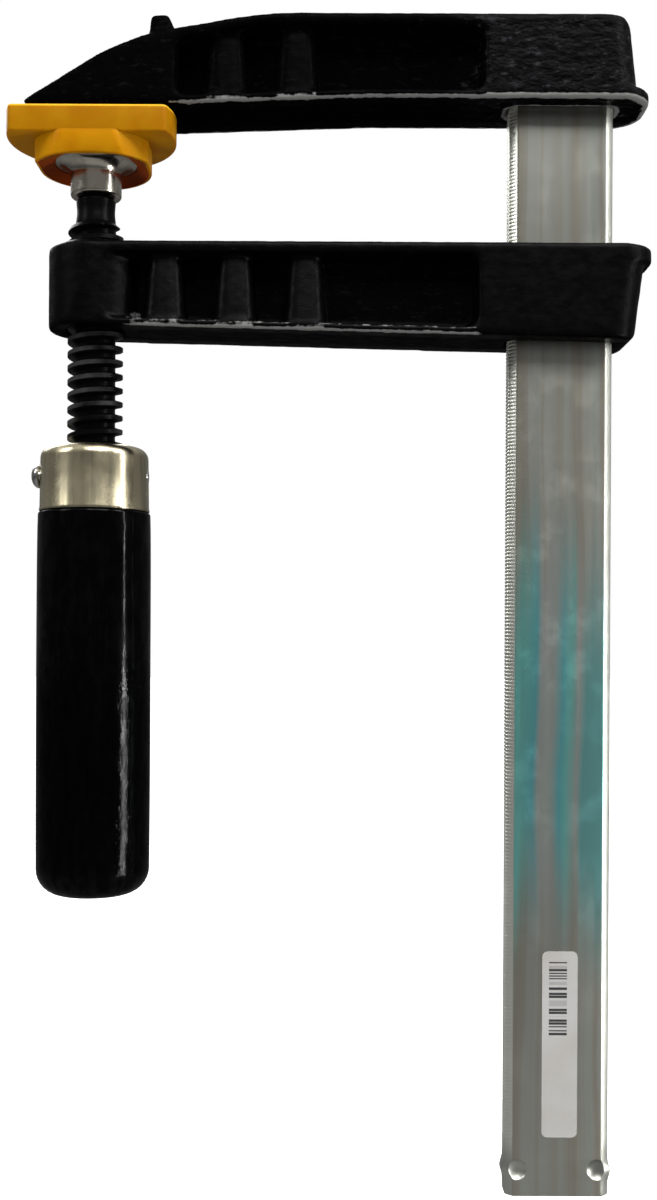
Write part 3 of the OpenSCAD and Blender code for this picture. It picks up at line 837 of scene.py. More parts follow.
def moulded_plastic():
    """Satin moulded plastic with faint flow marks, a painted highlight along its top edge, painted shade on
    the plate and deeper painted shade inside the hub.
    """
    plate_shade_run = (CAP_HIGH.z - 7.6 * MM, CAP_HIGH.z - 7.2 * MM)
    edge_highlight_run = (CAP_HIGH.z - 0.9 * MM, CAP_HIGH.z - 0.35 * MM)
    # Colour of the painted highlight along the top edge
    pale = (0.80, 0.46, 0.03)
    # Colour of the painted shade inside the hub
    deep = (0.24, 0.035, 0.001)
    material, tree, shader, place = new_material(
        "moulded plastic", Subsurface_Weight=0.3, Subsurface_Scale=0.004, Subsurface_Radius=(1.0, 0.25, 0.03),
        Specular_IOR_Level=0.03)
    marks = use_group(tree, speck_group(), Vector=place, Scale=1.0)
    axes = split(tree, place)
    full = finish("plastic")
    outer = blend(tree, spread(tree, marks["Unevenness"]), toned(full, (0.88, 0.80, 0.7)), full)
    # Painted shade: the plate is darker than the hub
    outer = dim(tree, outer, remap(tree, axes["Z"], *plate_shade_run, 1.0, 0.74))
    # Painted highlight along the top edge
    outer = blend(tree, remap(tree, axes["Z"], *edge_highlight_run, 0.0, 0.8), outer, pale)
    # Faces that look into the hub take the deep colour: painted shade
    away = vector_calc(tree, "NORMALIZE", combine(tree, X=axes["X"], Y=axes["Y"]))["Vector"]
    facing = add(tree, "ShaderNodeTexCoord").outputs["Normal"]
    outward = vector_calc(tree, "DOT_PRODUCT", facing, away)["Value"]
    inside = remap(tree, outward, -0.35, -0.15, 1.0, 0.0)
    feed(tree, shader, Base_Color=blend(tree, inside, outer, deep))
    feed(tree, shader, Roughness=spread(tree, marks["Unevenness"], 0.36, 0.48))
    feed(tree, shader, Normal=bump(tree, marks["Specks"], 0.015 * MM, 0.35))
    return material


def lacquered_wood():
    """Gloss black lacquer that follows the wood's grain, with runs on the lower half."""
    middle = (HANDLE_LOW.z + HANDLE_HIGH.z) / 2
    runs_end = (middle - 10 * MM, middle + 14 * MM)
    material, tree, shader, place = new_material("black lacquer", Specular_IOR_Level=0.02,
                                                 Coat_Roughness=0.04)
    pores = grain(tree, place, 900.0, 3.0, 0.6, stretch=(1.0, 1.0, 0.05))
    marks = use_group(tree, speck_group(), Vector=place, Scale=0.55)
    black = finish("lacquer")
    feed(tree, shader, Base_Color=blend(tree, remap(tree, pores, 0.35, 0.7), black, toned(black, grey(1.8))))
    feed(tree, shader, Roughness=spread(tree, marks["Unevenness"], 0.10, 0.26))
    low = bump(tree, marks["Unevenness"], 0.25 * MM, 0.35)
    feed(tree, shader, Normal=bump(tree, pores, 0.03 * MM, 0.3, low))
    flow = grain(tree, place, 420.0, 4.0, 0.65, stretch=(1.0, 1.0, 0.35))
    runs = remap(tree, split(tree, place)["Z"], *runs_end, 1.0, 0.2)
    feed(tree, shader, Coat_Weight=remap(tree, flow, 0.42, 0.62, 0.06, 0.2))
    feed(tree, shader, Coat_Normal=bump(tree, flow, 0.16 * MM, runs))
    return material


def window(tree, value, start, end):
    """Mask of a stretch along a value, with narrow soft ends."""
    soft = 0.1 * MM
    rising = remap(tree, value, start, start + soft)
    return product(tree, rising, remap(tree, value, end - soft, end, 1.0, 0.0))


def printed_bars(tree, place):
    """Mask of plain bars of uneven width across the label's upper part."""
    axes = split(tree, place)
    low = RAIL_LOW.z + settings("clamp_rail").label_rise
    bars = remap(tree, grain(tree, combine(tree, Z=axes["Z"]), 1300.0, 0.0), 0.49, 0.52)
    across = window(tree, axes["X"], RAIL_MIDDLE - 2.6 * MM, RAIL_MIDDLE + 2.7 * MM)
    upward = window(tree, axes["Z"], low + 29.4 * MM, low + 51 * MM)
    return product(tree, across, upward, bars)


def label_paper():
    """Coated paper, slightly yellowed, with plain printed bars on its upper half."""
    material, tree, shader, place = new_material("label paper", Specular_IOR_Level=0.3)
    fibres = grain(tree, place, 1800.0, 4.0, 0.6)
    soft = grain(tree, place, 60.0, 3.0, 0.5)
    white = finish("paper")
    paper = blend(tree, spread(tree, soft), toned(white, (0.90, 0.88, 0.84)), white)
    feed(tree, shader, Base_Color=blend(tree, printed_bars(tree, place), paper, grey(0.03)))
    feed(tree, shader, Roughness=spread(tree, fibres, 0.42, 0.55))
    feed(tree, shader, Normal=bump(tree, fibres, 0.01 * MM, 0.4))
    return material


def spring_steel():
    """Dull spring steel of the hidden split ring."""
    dark = (0.30, 0.30, 0.29)
    pale = (0.46, 0.46, 0.44)
    material, tree, shader, place = new_material("spring steel", Metallic=1.0)
    marks = use_group(tree, speck_group(), Vector=place, Scale=1.5)
    feed(tree, shader, Base_Color=blend(tree, marks["Unevenness"], dark, pale))
    feed(tree, shader, Roughness=spread(tree, marks["Specks"], 0.3, 0.45))
    return material


# Pieces


class CLAMP_OT_rail(bpy.types.Operator):
    """Build the rail with its notched inner edge and punched end stops"""

    bl_idname = "clamp.rail"
    bl_label = "Rail"

    def execute(self, context):
        rail = settings("clamp_rail")
        stop_z = RAIL_LOW.z + rail.stop_height
        bm = self.bar(rail)
        self.swell(bm, rail, stop_z)
        bmesh.ops.recalc_face_normals(bm, faces=bm.faces)
        ends = [edge for edge in bm.edges if all(vert.co.z < RAIL_LOW.z + TINY for vert in edge.verts)]
        soft_edges(bm, ends, 0.5 * MM, 2)
        bm = cut(bm, *self.dents(rail, stop_z))
        piece("rail_bar", bm, rail_zinc(), "frame", ["rail"], degrees=24)
        return {"FINISHED"}

    def bar(self, rail):
        """The bar, extruded level by level, with its inner edge pushed in at the notches."""
        edge_radius = 0.35 * MM
        bm = bmesh.new()
        corners = [bm.verts.new((x, y, RAIL_LOW.z)) for x, y in rail_section()]
        bm.faces.new(corners)
        for corner in corners:
            soft_corner(bm, corner, edge_radius, 2)
        ring = bm.faces[:]
        height = RAIL_LOW.z
        notched = []
        for level, is_notch in self.levels(rail):
            made = bmesh.ops.extrude_face_region(bm, geom=ring)["geom"]
            # Only the lowest face stays, as the bar's end
            if height > RAIL_LOW.z:
                bmesh.ops.delete(bm, geom=ring, context="FACES_ONLY")
            ring = only(made, bmesh.types.BMFace)
            verts = only(made, bmesh.types.BMVert)
            bmesh.ops.translate(bm, verts=verts, vec=(0, 0, level - height))
            height = level
            if is_notch:
                notched += verts
        inner_edge = RAIL_MIDDLE - rail.width / 2
        for vert in notched:
            share = 1.0 - min(1.0, (vert.co.x - inner_edge) / rail.bevel_width)
            vert.co.x += rail.notch_depth * max(0.0, share)
        return bm

    def levels(self, rail):
        """Heights of the bar's cross sections, each with whether it is the bottom of a notch."""
        plain_end = RAIL_LOW.z + 16 * MM
        plain_step = 0.5 * MM
        top = RAIL_HIGH.z - 1 * MM
        rows = []
        z = RAIL_LOW.z
        while z < plain_end - TINY:
            z += plain_step
            rows.append((z, False))
        while z + rail.notch_pitch < top:
            for share, is_notch in ((0.45, False), (0.72, True), (1.0, False)):
                rows.append((z + share * rail.notch_pitch, is_notch))
            z += rail.notch_pitch
        rows.append((RAIL_HIGH.z, False))
        return rows

    def swell(self, bm, rail, stop_z):
        """Push both edges outwards beside the punched stops."""
        reach_z = 2.1 * MM
        inner = rail.width / 2 - rail.bevel_width
        for vert in bm.verts:
            out = abs(vert.co.x - RAIL_MIDDLE) - inner
            if out > 0:
                bulge = math.exp(-((vert.co.z - stop_z) / reach_z) ** 2)
                share = min(1.0, out / rail.bevel_width)
                vert.co.x += math.copysign(rail.stop_swell * bulge * share, vert.co.x - RAIL_MIDDLE)

    def dents(self, rail, stop_z):
        """Balls that cut the stops' dents, two in front and two at the back."""
        radius = 4.4 * MM
        depth = 1.2 * MM
        z = stop_z + 0.9 * MM
        balls = []
        for x in (-1, 1):
            for y in (-1, 1):
                centre = (RAIL_MIDDLE + x * (rail.width / 2 - rail.stop_inset),
                          y * (rail.thickness / 2 + radius - depth), z)
                ball = bmesh.new()
                bmesh.ops.create_uvsphere(ball, u_segments=40, v_segments=24, radius=radius,
                                          matrix=Matrix.Translation(centre))
                balls.append(ball)
        return balls


class CLAMP_OT_label(bpy.types.Operator):
    """Build the plain paper label on the rail's front"""

    bl_idname = "clamp.label"
    bl_label = "Label"

    def execute(self, context):
        rail = settings("clamp_rail")
        face = RAIL_LOW.y
        sunk, proud = 0.02 * MM, 0.09 * MM
        corner_radius = 1.6 * MM
        middle = RAIL_MIDDLE + 0.6 * MM
        left, right = middle - rail.label_width / 2, middle + rail.label_width / 2
        low = RAIL_LOW.z + rail.label_rise
        high = low + rail.label_height
        outline = [(left, low), (right, low), (right, high), (left, high)]
        bm = prism(outline, face + sunk, face - proud, rounds={index: corner_radius for index in range(4)})
        piece("rail_label", bm, label_paper(), "frame", (), degrees=30)
        return {"FINISHED"}


class CLAMP_OT_fixed_arm(bpy.types.Operator):
    """Build the fixed cast arm with its flanges, ribs, nose and lug"""

    bl_idname = "clamp.fixed_arm"
    bl_label = "Fixed arm"

    def execute(self, context):
        arm = settings("clamp_arm")
        nose, shoulder, crest, tail = in_mm((-19.5, 0), (10, 18.5), (50, 25.6), (154, 25.7))
        foot = (156.5 * MM, arm.rise)
        recess = (24 * MM, 112 * MM)
        ribs = (38.5 * MM, 58.5 * MM)
        rib_width = 10.5 * MM
        lip_thickness = 3.6 * MM
        lug_depth = 11 * MM
        slot_clear = 0.3 * MM

        def top(x):
            """Height of the sloping top between the shoulder and the crest."""
            return shoulder[1] + (crest[1] - shoulder[1]) * (x - shoulder[0]) / (crest[0] - shoulder[0])

        def under(x):
            """Height of the underside."""
            share = (x - arm.jaw_length) / (arm.rise_end - arm.jaw_length)
            return arm.rise * np.clip(share, 0.0, 1.0)

        outline = [nose, (arm.jaw_length, 0.0), (arm.rise_end, arm.rise), foot, tail, crest, shoulder]
        radii = {0: 0.4 * MM, 4: 3.5 * MM, 5: 9.6 * MM, 6: 11.7 * MM}
        body = prism(outline, -arm.depth, arm.depth, rounds=radii, segments=10)
        body = round_head(body, foot, tail, arm)
        floor = [(recess[0], 0.0), (arm.rise_end, arm.rise), (recess[1], arm.rise)]
        roof = [(recess[1], tail[1]), crest, (recess[0], top(recess[0]))]
        hollow = [(x, z + arm.flange_foot) for x, z in floor]
        hollow += [(x, z - arm.flange_top) for x, z in roof]
        body = cut(body, *[recess_cutter(hollow, side, arm) for side in (-1, 1)])
        for x in ribs:
            join(body, rib(x, rib_width, under(x), top(min(x, crest[0])), arm))
        lug = in_mm((13, 15), (24, 15), (24, 21.2), (22, 25.6), (17, 25.3), (16.6, 19.6), (14.6, 18.4))
        lug_radii = {3: 0.8 * MM, 4: 1 * MM, 5: 1.5 * MM}
        lip = rail_lip(recess[1], FIXED_HIGH.x, arm.rise, arm.rise + lip_thickness, arm)
        join(body, lip, prism(lug, -lug_depth, lug_depth, rounds=lug_radii))
        slot = prism(rail_section(slot_clear), -5 * MM, 40 * MM, "Z")
        material = enamel("lumpy enamel", lumpy=0.8, dull_end=recess[1], gloss=0.032)
        body = cast(body, slot, arm)
        obj = piece("fixed_arm_casting", body, material, "frame", ["fixed_arm"], degrees=60)

        def weight(points):
            """Pale along the lower edge, wider on the lip, and at the ribs' feet: partly rubbed paint and
            partly painted highlight.
            """
            lip_line, arm_line = 1.05 * MM, 0.6 * MM
            jaw_end = 20 * MM
            along = points[:, 0]
            above = points[:, 2] - under(along)
            width = np.where(along > recess[1], lip_line, arm_line)
            line = fade(width - above, 0.3 * MM) * fade(along - jaw_end, 6 * MM, 0.2)
            feet = sum(rib_foot(along, above, x, rib_width) for x in ribs)
            return np.clip(0.1 + line + feet, 0.0, 1.0)

        edge_mask(obj, weight)
        return {"FINISHED"}


class CLAMP_OT_sliding_arm(bpy.types.Operator):
    """Build the sliding cast arm with its spindle boss"""

    bl_idname = "clamp.sliding_arm"
    bl_label = "Sliding arm"

    def execute(self, context):
        arm = settings("clamp_arm")
        top = -39 * MM
        boss_foot = -62.7 * MM
        fall = -66 * MM - boss_foot
        fall_run = 150 * MM
        recess = (4 * MM, 110.5 * MM)
        ribs = [(21.2 + 20 * index) * MM for index in range(3)]
        rib_width = 10 * MM
        lip_thickness = 4.5 * MM
        slot_clear = 0.45 * MM
        opening = (-80 * MM, -30 * MM)

        def under(x):
            """Height of the sloping underside."""
            return boss_foot + fall * x / fall_run

        foot = (155.5 * MM, under(155.5 * MM))
        tail = (159 * MM, top)
        outline = [(0.0, boss_foot), foot, tail, (0.0, top)]
        body = prism(outline, -arm.depth, arm.depth, rounds={1: 3 * MM})
        body = round_head(body, foot, tail, arm)
        hollow = [(x, under(x) + arm.flange_foot) for x in recess]
        hollow += [(x, top - arm.flange_top) for x in reversed(recess)]
        body = cut(body, *[recess_cutter(hollow, side, arm) for side in (-1, 1)])
        for x in ribs:
            join(body, rib(x, rib_width, under(x), top, arm))
        lip = rail_lip(recess[1], SLIDE_HIGH.x, top - lip_thickness, top, arm)
        join(body, lip, self.boss(boss_foot, top))
        slot = prism(rail_section(slot_clear), *opening, "Z")
        material = enamel("smooth enamel", lumpy=0.06, dull_end=-40 * MM, gloss=0.046)
        body = cast(body, join(slot, self.bore()), arm)
        obj = piece("sliding_arm_casting", body, material, "slider", ["sliding_arm"],
                    degrees=60)

        def weight(points):
            """Pale along both edges of the lower flange and at the ribs' feet, between boss and head: partly
            rubbed paint and partly painted highlight.
            """
            lower_line, upper_line, upper_half = 0.6 * MM, 1.7 * MM, 0.35 * MM
            boss_end = 9 * MM
            along = points[:, 0]
            above = points[:, 2] - under(along)
            inside = fade(recess[1] + 2 * MM - along, 3 * MM) * fade(along - boss_end, 4 * MM)
            lower = 0.9 * fade(lower_line - above, 0.3 * MM)
            upper = 0.6 * fade(upper_half - np.abs(above - upper_line), upper_half)
            feet = sum(rib_foot(along, above, x, rib_width) for x in ribs)
            return np.clip(0.1 + inside * (np.maximum(lower, upper) + 0.8 * feet), 0.0, 1.0)

        def spots(points):
            """One rubbed spot at the front, beside the boss."""
            x, z, radius = 12.5 * MM, -60 * MM, 3 * MM
            away = np.hypot(points[:, 0] - x, 0.8 * (points[:, 2] - z))
            return np.where(points[:, 1] < 0, 0.5 * fade(radius - away, radius / 2), 0.0)

        edge_mask(obj, weight, spots)
        return {"FINISHED"}

    def boss(self, foot, top):
        """The round boss with a short collar on top."""
        radius = -SLIDE_LOW.x
        collar, collar_top = 10.4 * MM, 9.6 * MM
        profile = [(0.0, foot), (radius, foot), (radius, top), (collar, top), (collar_top, SLIDE_HIGH.z),
                   (0.0, SLIDE_HIGH.z)]
        return turned(profile, 72, {1: 0.8 * MM, 2: 0.8 * MM, 4: 0.6 * MM})

    def bore(self):
        """Cutter of the hole that the spindle runs in."""
        radius = 8.4 * MM
        low, high = -75 * MM, -30 * MM
        return turned([(0.0, low), (radius, low), (radius, high), (0.0, high)], 72)


class CLAMP_OT_spindle(bpy.types.Operator):
    """Build the spindle with its helical thread, waisted neck, ball and tang"""

    bl_idname = "clamp.spindle"
    bl_label = "Spindle"

    def execute(self, context):
        spindle = settings("clamp_spindle")
        thread_top, thread_foot = -31.1 * MM, -101.5 * MM
        bm = self.thread(spindle, thread_top, thread_foot)
        join(bm, self.neck(spindle.core, thread_top), self.tang(thread_foot))
        piece("screw_spindle", bm, black_oxide(), "screw", ["spindle"], degrees=40)
        return {"FINISHED"}

    def thread(self, spindle, top, foot):
        """The trapezoidal thread, cut flat at both ends and run out at its top."""
        core, pitch = spindle.core, spindle.pitch
        crest = SPINDLE_HIGH.x
        fillet, blunt = 0.25 * MM, 0.3 * MM
        run_out = 1.1
        turns = math.ceil((top - foot) / pitch) + 1
        start = foot - pitch
        flank = [(core, 0.0), (core, 0.15), (core + fillet, 0.20), (crest - blunt, 0.31), (crest, 0.36)]
        flanks = flank + [(radius, 1.0 - share) for radius, share in reversed(flank)]
        bm, _ = profile_line([(radius, start + share * pitch) for radius, share in flanks])
        spin(bm, spindle.steps * turns, turns, pitch / spindle.steps)
        bmesh.ops.remove_doubles(bm, verts=bm.verts, dist=0.01 * MM)
        for height, up in ((top, 1), (foot, -1)):
            bmesh.ops.bisect_plane(bm, geom=bm.verts[:] + bm.edges[:] + bm.faces[:], dist=1e-7,
                                   plane_co=(0, 0, height), plane_no=(0, 0, up), clear_outer=True)
            rim = [edge for edge in bm.edges if edge.is_boundary and abs(edge.verts[0].co.z - height) < TINY]
            bmesh.ops.edgeloop_fill(bm, edges=rim)
        for vert in bm.verts:
            radius = math.hypot(vert.co.x, vert.co.y)
            limit = core + (top - vert.co.z) * run_out
            if radius > limit:
                vert.co.x *= limit / radius
                vert.co.y *= limit / radius
        bmesh.ops.recalc_face_normals(bm, faces=bm.faces)
        return bm

    def neck(self, core, thread_top):
        """The waisted neck, the groove for the ring and the ball."""
        root = thread_top - 3 * MM
        waist, shoulder, rim = 5.4 * MM, 5.7 * MM, 5.3 * MM
        top = -24.5 * MM
        step = top + 0.35 * MM
        stem, groove = 3.7 * MM, 3.2 * MM
        ring_z, ring_half = -19.6 * MM, 0.6 * MM
        profile = [(0.0, root), (core - 0.1 * MM, root), (core, thread_top), (waist, (thread_top + top) / 2),
                   (shoulder, top), (rim, step), (stem, step), (stem, ring_z - ring_half),
                   (groove, ring_z - ring_half), (groove, ring_z + ring_half), (stem, ring_z + ring_half)]
        profile += dome(BALL_RADIUS, BALL_RADIUS, BALL_Z, -42, 12)
        return turned(profile, 64, {3: 1.2 * MM, 4: 0.3 * MM})

    def tang(self, thread_foot):
        """The plain end inside the handle."""
        radius = 5 * MM
        top = thread_foot + 2 * MM
        profile = [(0.0, SPINDLE_LOW.z), (radius, SPINDLE_LOW.z), (radius, top), (0.0, top)]
        return turned(profile, 40, {1: 1 * MM})


class CLAMP_OT_swivel_plate(bpy.types.Operator):
    """Build the turned plate that holds the spindle's ball, and finish the hidden ring"""

    bl_idname = "clamp.swivel_plate"
    bl_label = "Swivel plate"

    def execute(self, context):
        top, under, foot = PLATE_HIGH.z, PLATE_UNDER, PLATE_LOW.z
        rim = PLATE_HIGH.x
        collar = 7.35 * MM
        flare = 2.4 * MM
        bore = 5.05 * MM
        groove = 6.6 * MM
        groove_low, groove_high = -20.9 * MM, -18.3 * MM
        profile = [(0.0, top), (rim, top), (rim, under), (collar + flare, under), (collar, under - flare),
                   (collar, foot), (bore, foot), (bore, groove_low), (groove, groove_low),
                   (groove, groove_high), (bore, groove_high)]
        profile += dome(bore, bore, BALL_Z, 0, 8)
        radii = {1: 0.4 * MM, 2: 0.4 * MM, 3: 1.5 * MM, 4: 1.2 * MM, 5: 0.9 * MM, 6: 0.4 * MM}
        bm = turned(profile, 72, radii)
        material = plated("bright plating", finish("steel"), roughness=(0.14, 0.26), scale=1.2,
                          length_ratio=0.3, depth=0.01 * MM)
        piece("swivel_collar", bm, material, "pad", ["swivel_plate"], degrees=40)
        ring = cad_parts["retaining_ring"]
        ring.data.materials.clear()
        ring.data.materials.append(spring_steel())
        return {"FINISHED"}


class CLAMP_OT_pad_cap(bpy.types.Operator):
    """Build the moulded cap with its faceted, thin-walled hub"""

    bl_idname = "clamp.pad_cap"
    bl_label = "Pad cap"

    def execute(self, context):
        foot = CAP_HIGH.z - 7.5 * MM
        body = cut(self.plate(foot), self.hub(foot), operation="UNION")
        body = cut(body, self.cavity())
        piece("pad_cap_moulding", body, moulded_plastic(), "pad", ["pad_cap"], degrees=32)
        return {"FINISHED"}

    def plate(self, foot):
        """The cap's plate: a disc that is cut straight at the front."""
        radius = CAP_HIGH.x
        front = CAP_LOW.y + 0.6 * MM
        middle = CAP_HIGH.y - radius
        corner_radius = 1.1 * MM
        start = math.asin((front - middle) / radius)
        corner_x = radius * math.cos(start)
        lead = math.radians(10)
        sweep = math.pi - 2 * (start + lead)
        steps = 56
        outline = [(-corner_x, front), (corner_x, front)]
        for step in range(steps + 1):
            angle = start + lead + sweep * step / steps
            outline.append((radius * math.cos(angle), middle + radius * math.sin(angle)))
        bm = prism(outline, foot, CAP_HIGH.z, "Z", {0: corner_radius, 1: corner_radius})
        rims = [edge for edge in bm.edges if abs(edge.verts[0].co.z - edge.verts[1].co.z) < TINY]
        soft_edges(bm, rims, 0.5 * MM)
        return bm

    def hub(self, foot):
        """The hub as a solid: its front flat leans back and its lower edge is arched there."""
        top = foot + 0.5 * MM
        arch_rise = 0.9 * MM
        front = -CAP_LOW.y
        low_front = front - (top - CAP_LOW.z) * HUB_LEAN
        bm = bmesh.new()
        upper = [bm.verts.new((x, y, top)) for x, y, _ in self.hub_plan(front)]
        lower = [bm.verts.new((x, y, CAP_LOW.z + arch_rise * arch))
                 for x, y, arch in self.hub_plan(low_front)]
        self.skin(bm, [upper, lower])
        ridges = [edge for edge in bm.edges if edge.calc_face_angle(0.0) > math.radians(20)]
        soft_edges(bm, ridges, 0.35 * MM, 2)
        return bm

    def cavity(self):
        """The hollow that takes the swivel plate, flared towards the hub's thin rim."""
        wall = 0.9 * MM
        clear = 0.02 * MM
        bore = PLATE_HIGH.x + clear
        plan = self.hub_plan(-CAP_LOW.y - 6.8 * MM * HUB_LEAN, wall)
        angles = [math.atan2(y, x) for x, y, _ in plan]
        bm = bmesh.new()
        rings = []
        for height in (CAP_LOW.z - 1 * MM, CAP_LOW.z + 0.3 * MM):
            rings.append([bm.verts.new((x, y, height)) for x, y, _ in plan])
        for height in (PLATE_UNDER - 0.2 * MM, PLATE_HIGH.z + clear):
            rings.append([bm.verts.new((bore * math.cos(a), bore * math.sin(a), height)) for a in angles])
        self.skin(bm, rings)
        return bm

    def skin(self, bm, rings):
        """Close a stack of rings to a solid."""
        total = len(rings[0])
        for first, second in zip(rings, rings[1:]):
            for i in range(total):
                j = (i + 1) % total
                bm.faces.new((first[i], first[j], second[j], second[i]))
        for ring in (rings[0], rings[-1]):
            middle = bm.verts.new((0, 0, sum(vert.co.z for vert in ring) / total))
            for i in range(total):
                bm.faces.new((ring[i], ring[(i + 1) % total], middle))
        bmesh.ops.recalc_face_normals(bm, faces=bm.faces)

    def hub_plan(self, front, inset=0.0):
        """Points round the hub with their share of the arch: round back, upright sides and a front flat."""
        side = 16.1 * MM
        corner = 18.4 * MM
        back_steps, corner_steps, front_half = 32, 8, 6
        low = math.acos(side / corner)
        high = math.asin(front / corner)
        half = corner * math.cos(high)

        def arc(reach, start, sweep, steps):
            """Points along an arc, which the arch leaves alone."""
            turns = [start + sweep * step / steps for step in range(steps + 1)]
            return [(reach * math.cos(turn), reach * math.sin(turn), 0.0) for turn in turns]

        points = arc(side, 0.0, math.pi, back_steps)
        points += arc(corner, math.pi + low, high - low, corner_steps)
        for step in range(1, 2 * front_half):
            share = step / front_half - 1
            points.append((half * share, -front, 1.0 - share ** 2))
        points += arc(corner, -high, high - low, corner_steps)
        shares = [1.0 - inset / math.hypot(x, y) for x, y, _ in points]
        return [(x * share, y * share, arch) for (x, y, arch), share in zip(points, shares)]


class CLAMP_OT_handle(bpy.types.Operator):
    """Build the lacquered grip, its ferrule and the cross pin"""

    bl_idname = "clamp.handle"
    bl_label = "Handle"

    def execute(self, context):
        handle = settings("clamp_handle")
        self.ferrule(handle)
        self.pin()
        self.grip(handle)
        return {"FINISHED"}

    def ferrule(self, handle):
        """The plated cup, a little wider at its lower rim."""
        top, foot = FERRULE_HIGH.z, FERRULE_LOW.z
        end_r = FERRULE_HIGH.x
        top_r = end_r - 0.4 * MM
        wall = handle.ferrule_wall
        hole = SPINDLE_HIGH.x + 0.02 * MM
        profile = [(hole, top - wall), (hole, top), (top_r, top), (end_r - 0.15 * MM, foot + 1.1 * MM),
                   (end_r, foot + 0.7 * MM), (end_r, foot), (end_r - wall, foot), (top_r - wall, top - wall),
                   (hole, top - wall)]
        radii = {2: handle.ferrule_round, 5: 0.3 * MM, 6: 0.25 * MM, 7: 1.8 * MM}
        bm = turned(profile, 96, radii, 7)
        material = plated("nickel plating", finish("nickel"), roughness=(0.18, 0.30), scale=0.9,
                          length_ratio=0.06, depth=0.012 * MM)
        piece("ferrule_cup", bm, material, "screw", ["ferrule"], degrees=40)

    def pin(self):
        """The cross pin with its domed head, turned upright and laid along X."""
        z = (PIN_LOW.z + PIN_HIGH.z) / 2
        head = (PIN_HIGH.z - PIN_LOW.z) / 2
        end = -PIN_HIGH.x
        seat = -PIN_LOW.x - 2.6 * MM
        rim = seat + 0.4 * MM
        shank = 2 * MM
        profile = [(0.0, end), (shank, end), (shank, seat), (head - 0.3 * MM, seat)]
        profile += dome(head, 2.2 * MM, rim, 0, 8)
        bm = turned(profile, 40, {1: 0.4 * MM})
        lay_down = Matrix.Translation((0, 0, z)) @ Matrix.Rotation(math.radians(-90), 4, "Y")
        bmesh.ops.transform(bm, matrix=lay_down, verts=bm.verts)
        material = plated("pin plating", finish("pin_steel"), roughness=(0.14, 0.26), scale=1.2,
                          length_ratio=0.3, depth=0.01 * MM)
        piece("cross_pin", bm, material, "screw", ["handle_pin"], degrees=40)

    def grip(self, handle):
        """The turned grip, a little fuller in the middle, with long ripples in its lacquer."""
        radius = HANDLE_HIGH.x
        foot, shoulder, top = HANDLE_LOW.z, FERRULE_LOW.z, HANDLE_HIGH.z
        end_r = FERRULE_HIGH.x - handle.ferrule_wall - 0.02 * MM
        end_loss = 0.25 * MM
        rows = 24
        profile = [(0.0, foot), (radius - handle.grip_round, foot + 0.2 * MM), (radius, foot + 0.4 * MM)]
        for row in range(2, rows):
            share = row / rows
            profile.append((radius - end_loss * (2 * share - 1) ** 4, foot + share * (shoulder - foot)))
        profile += [(radius - 0.3 * MM, shoulder - 0.1 * MM), (end_r, shoulder - 0.1 * MM),
                    (end_r - 0.4 * MM, top), (0.0, top)]
        radii = {2: handle.grip_round * 0.98, len(profile) - 4: 0.9 * MM}
        bm = turned(profile, 96, radii, 8)
        waves_round, waves_along = 3, 28
        for vert in bm.verts:
            if vert.co.z < shoulder - 0.2 * MM:
                angle = math.atan2(vert.co.y, vert.co.x)
                place = Vector((math.cos(angle) * waves_round, math.sin(angle) * waves_round,
                                vert.co.z * waves_along))
                swell = 1.0 - handle.ripple * (1 + noise.noise(place)) / radius
                vert.co.x *= swell
                vert.co.y *= swell
        piece("grip_turning", bm, lacquered_wood(), "screw", ["handle"], degrees=40)


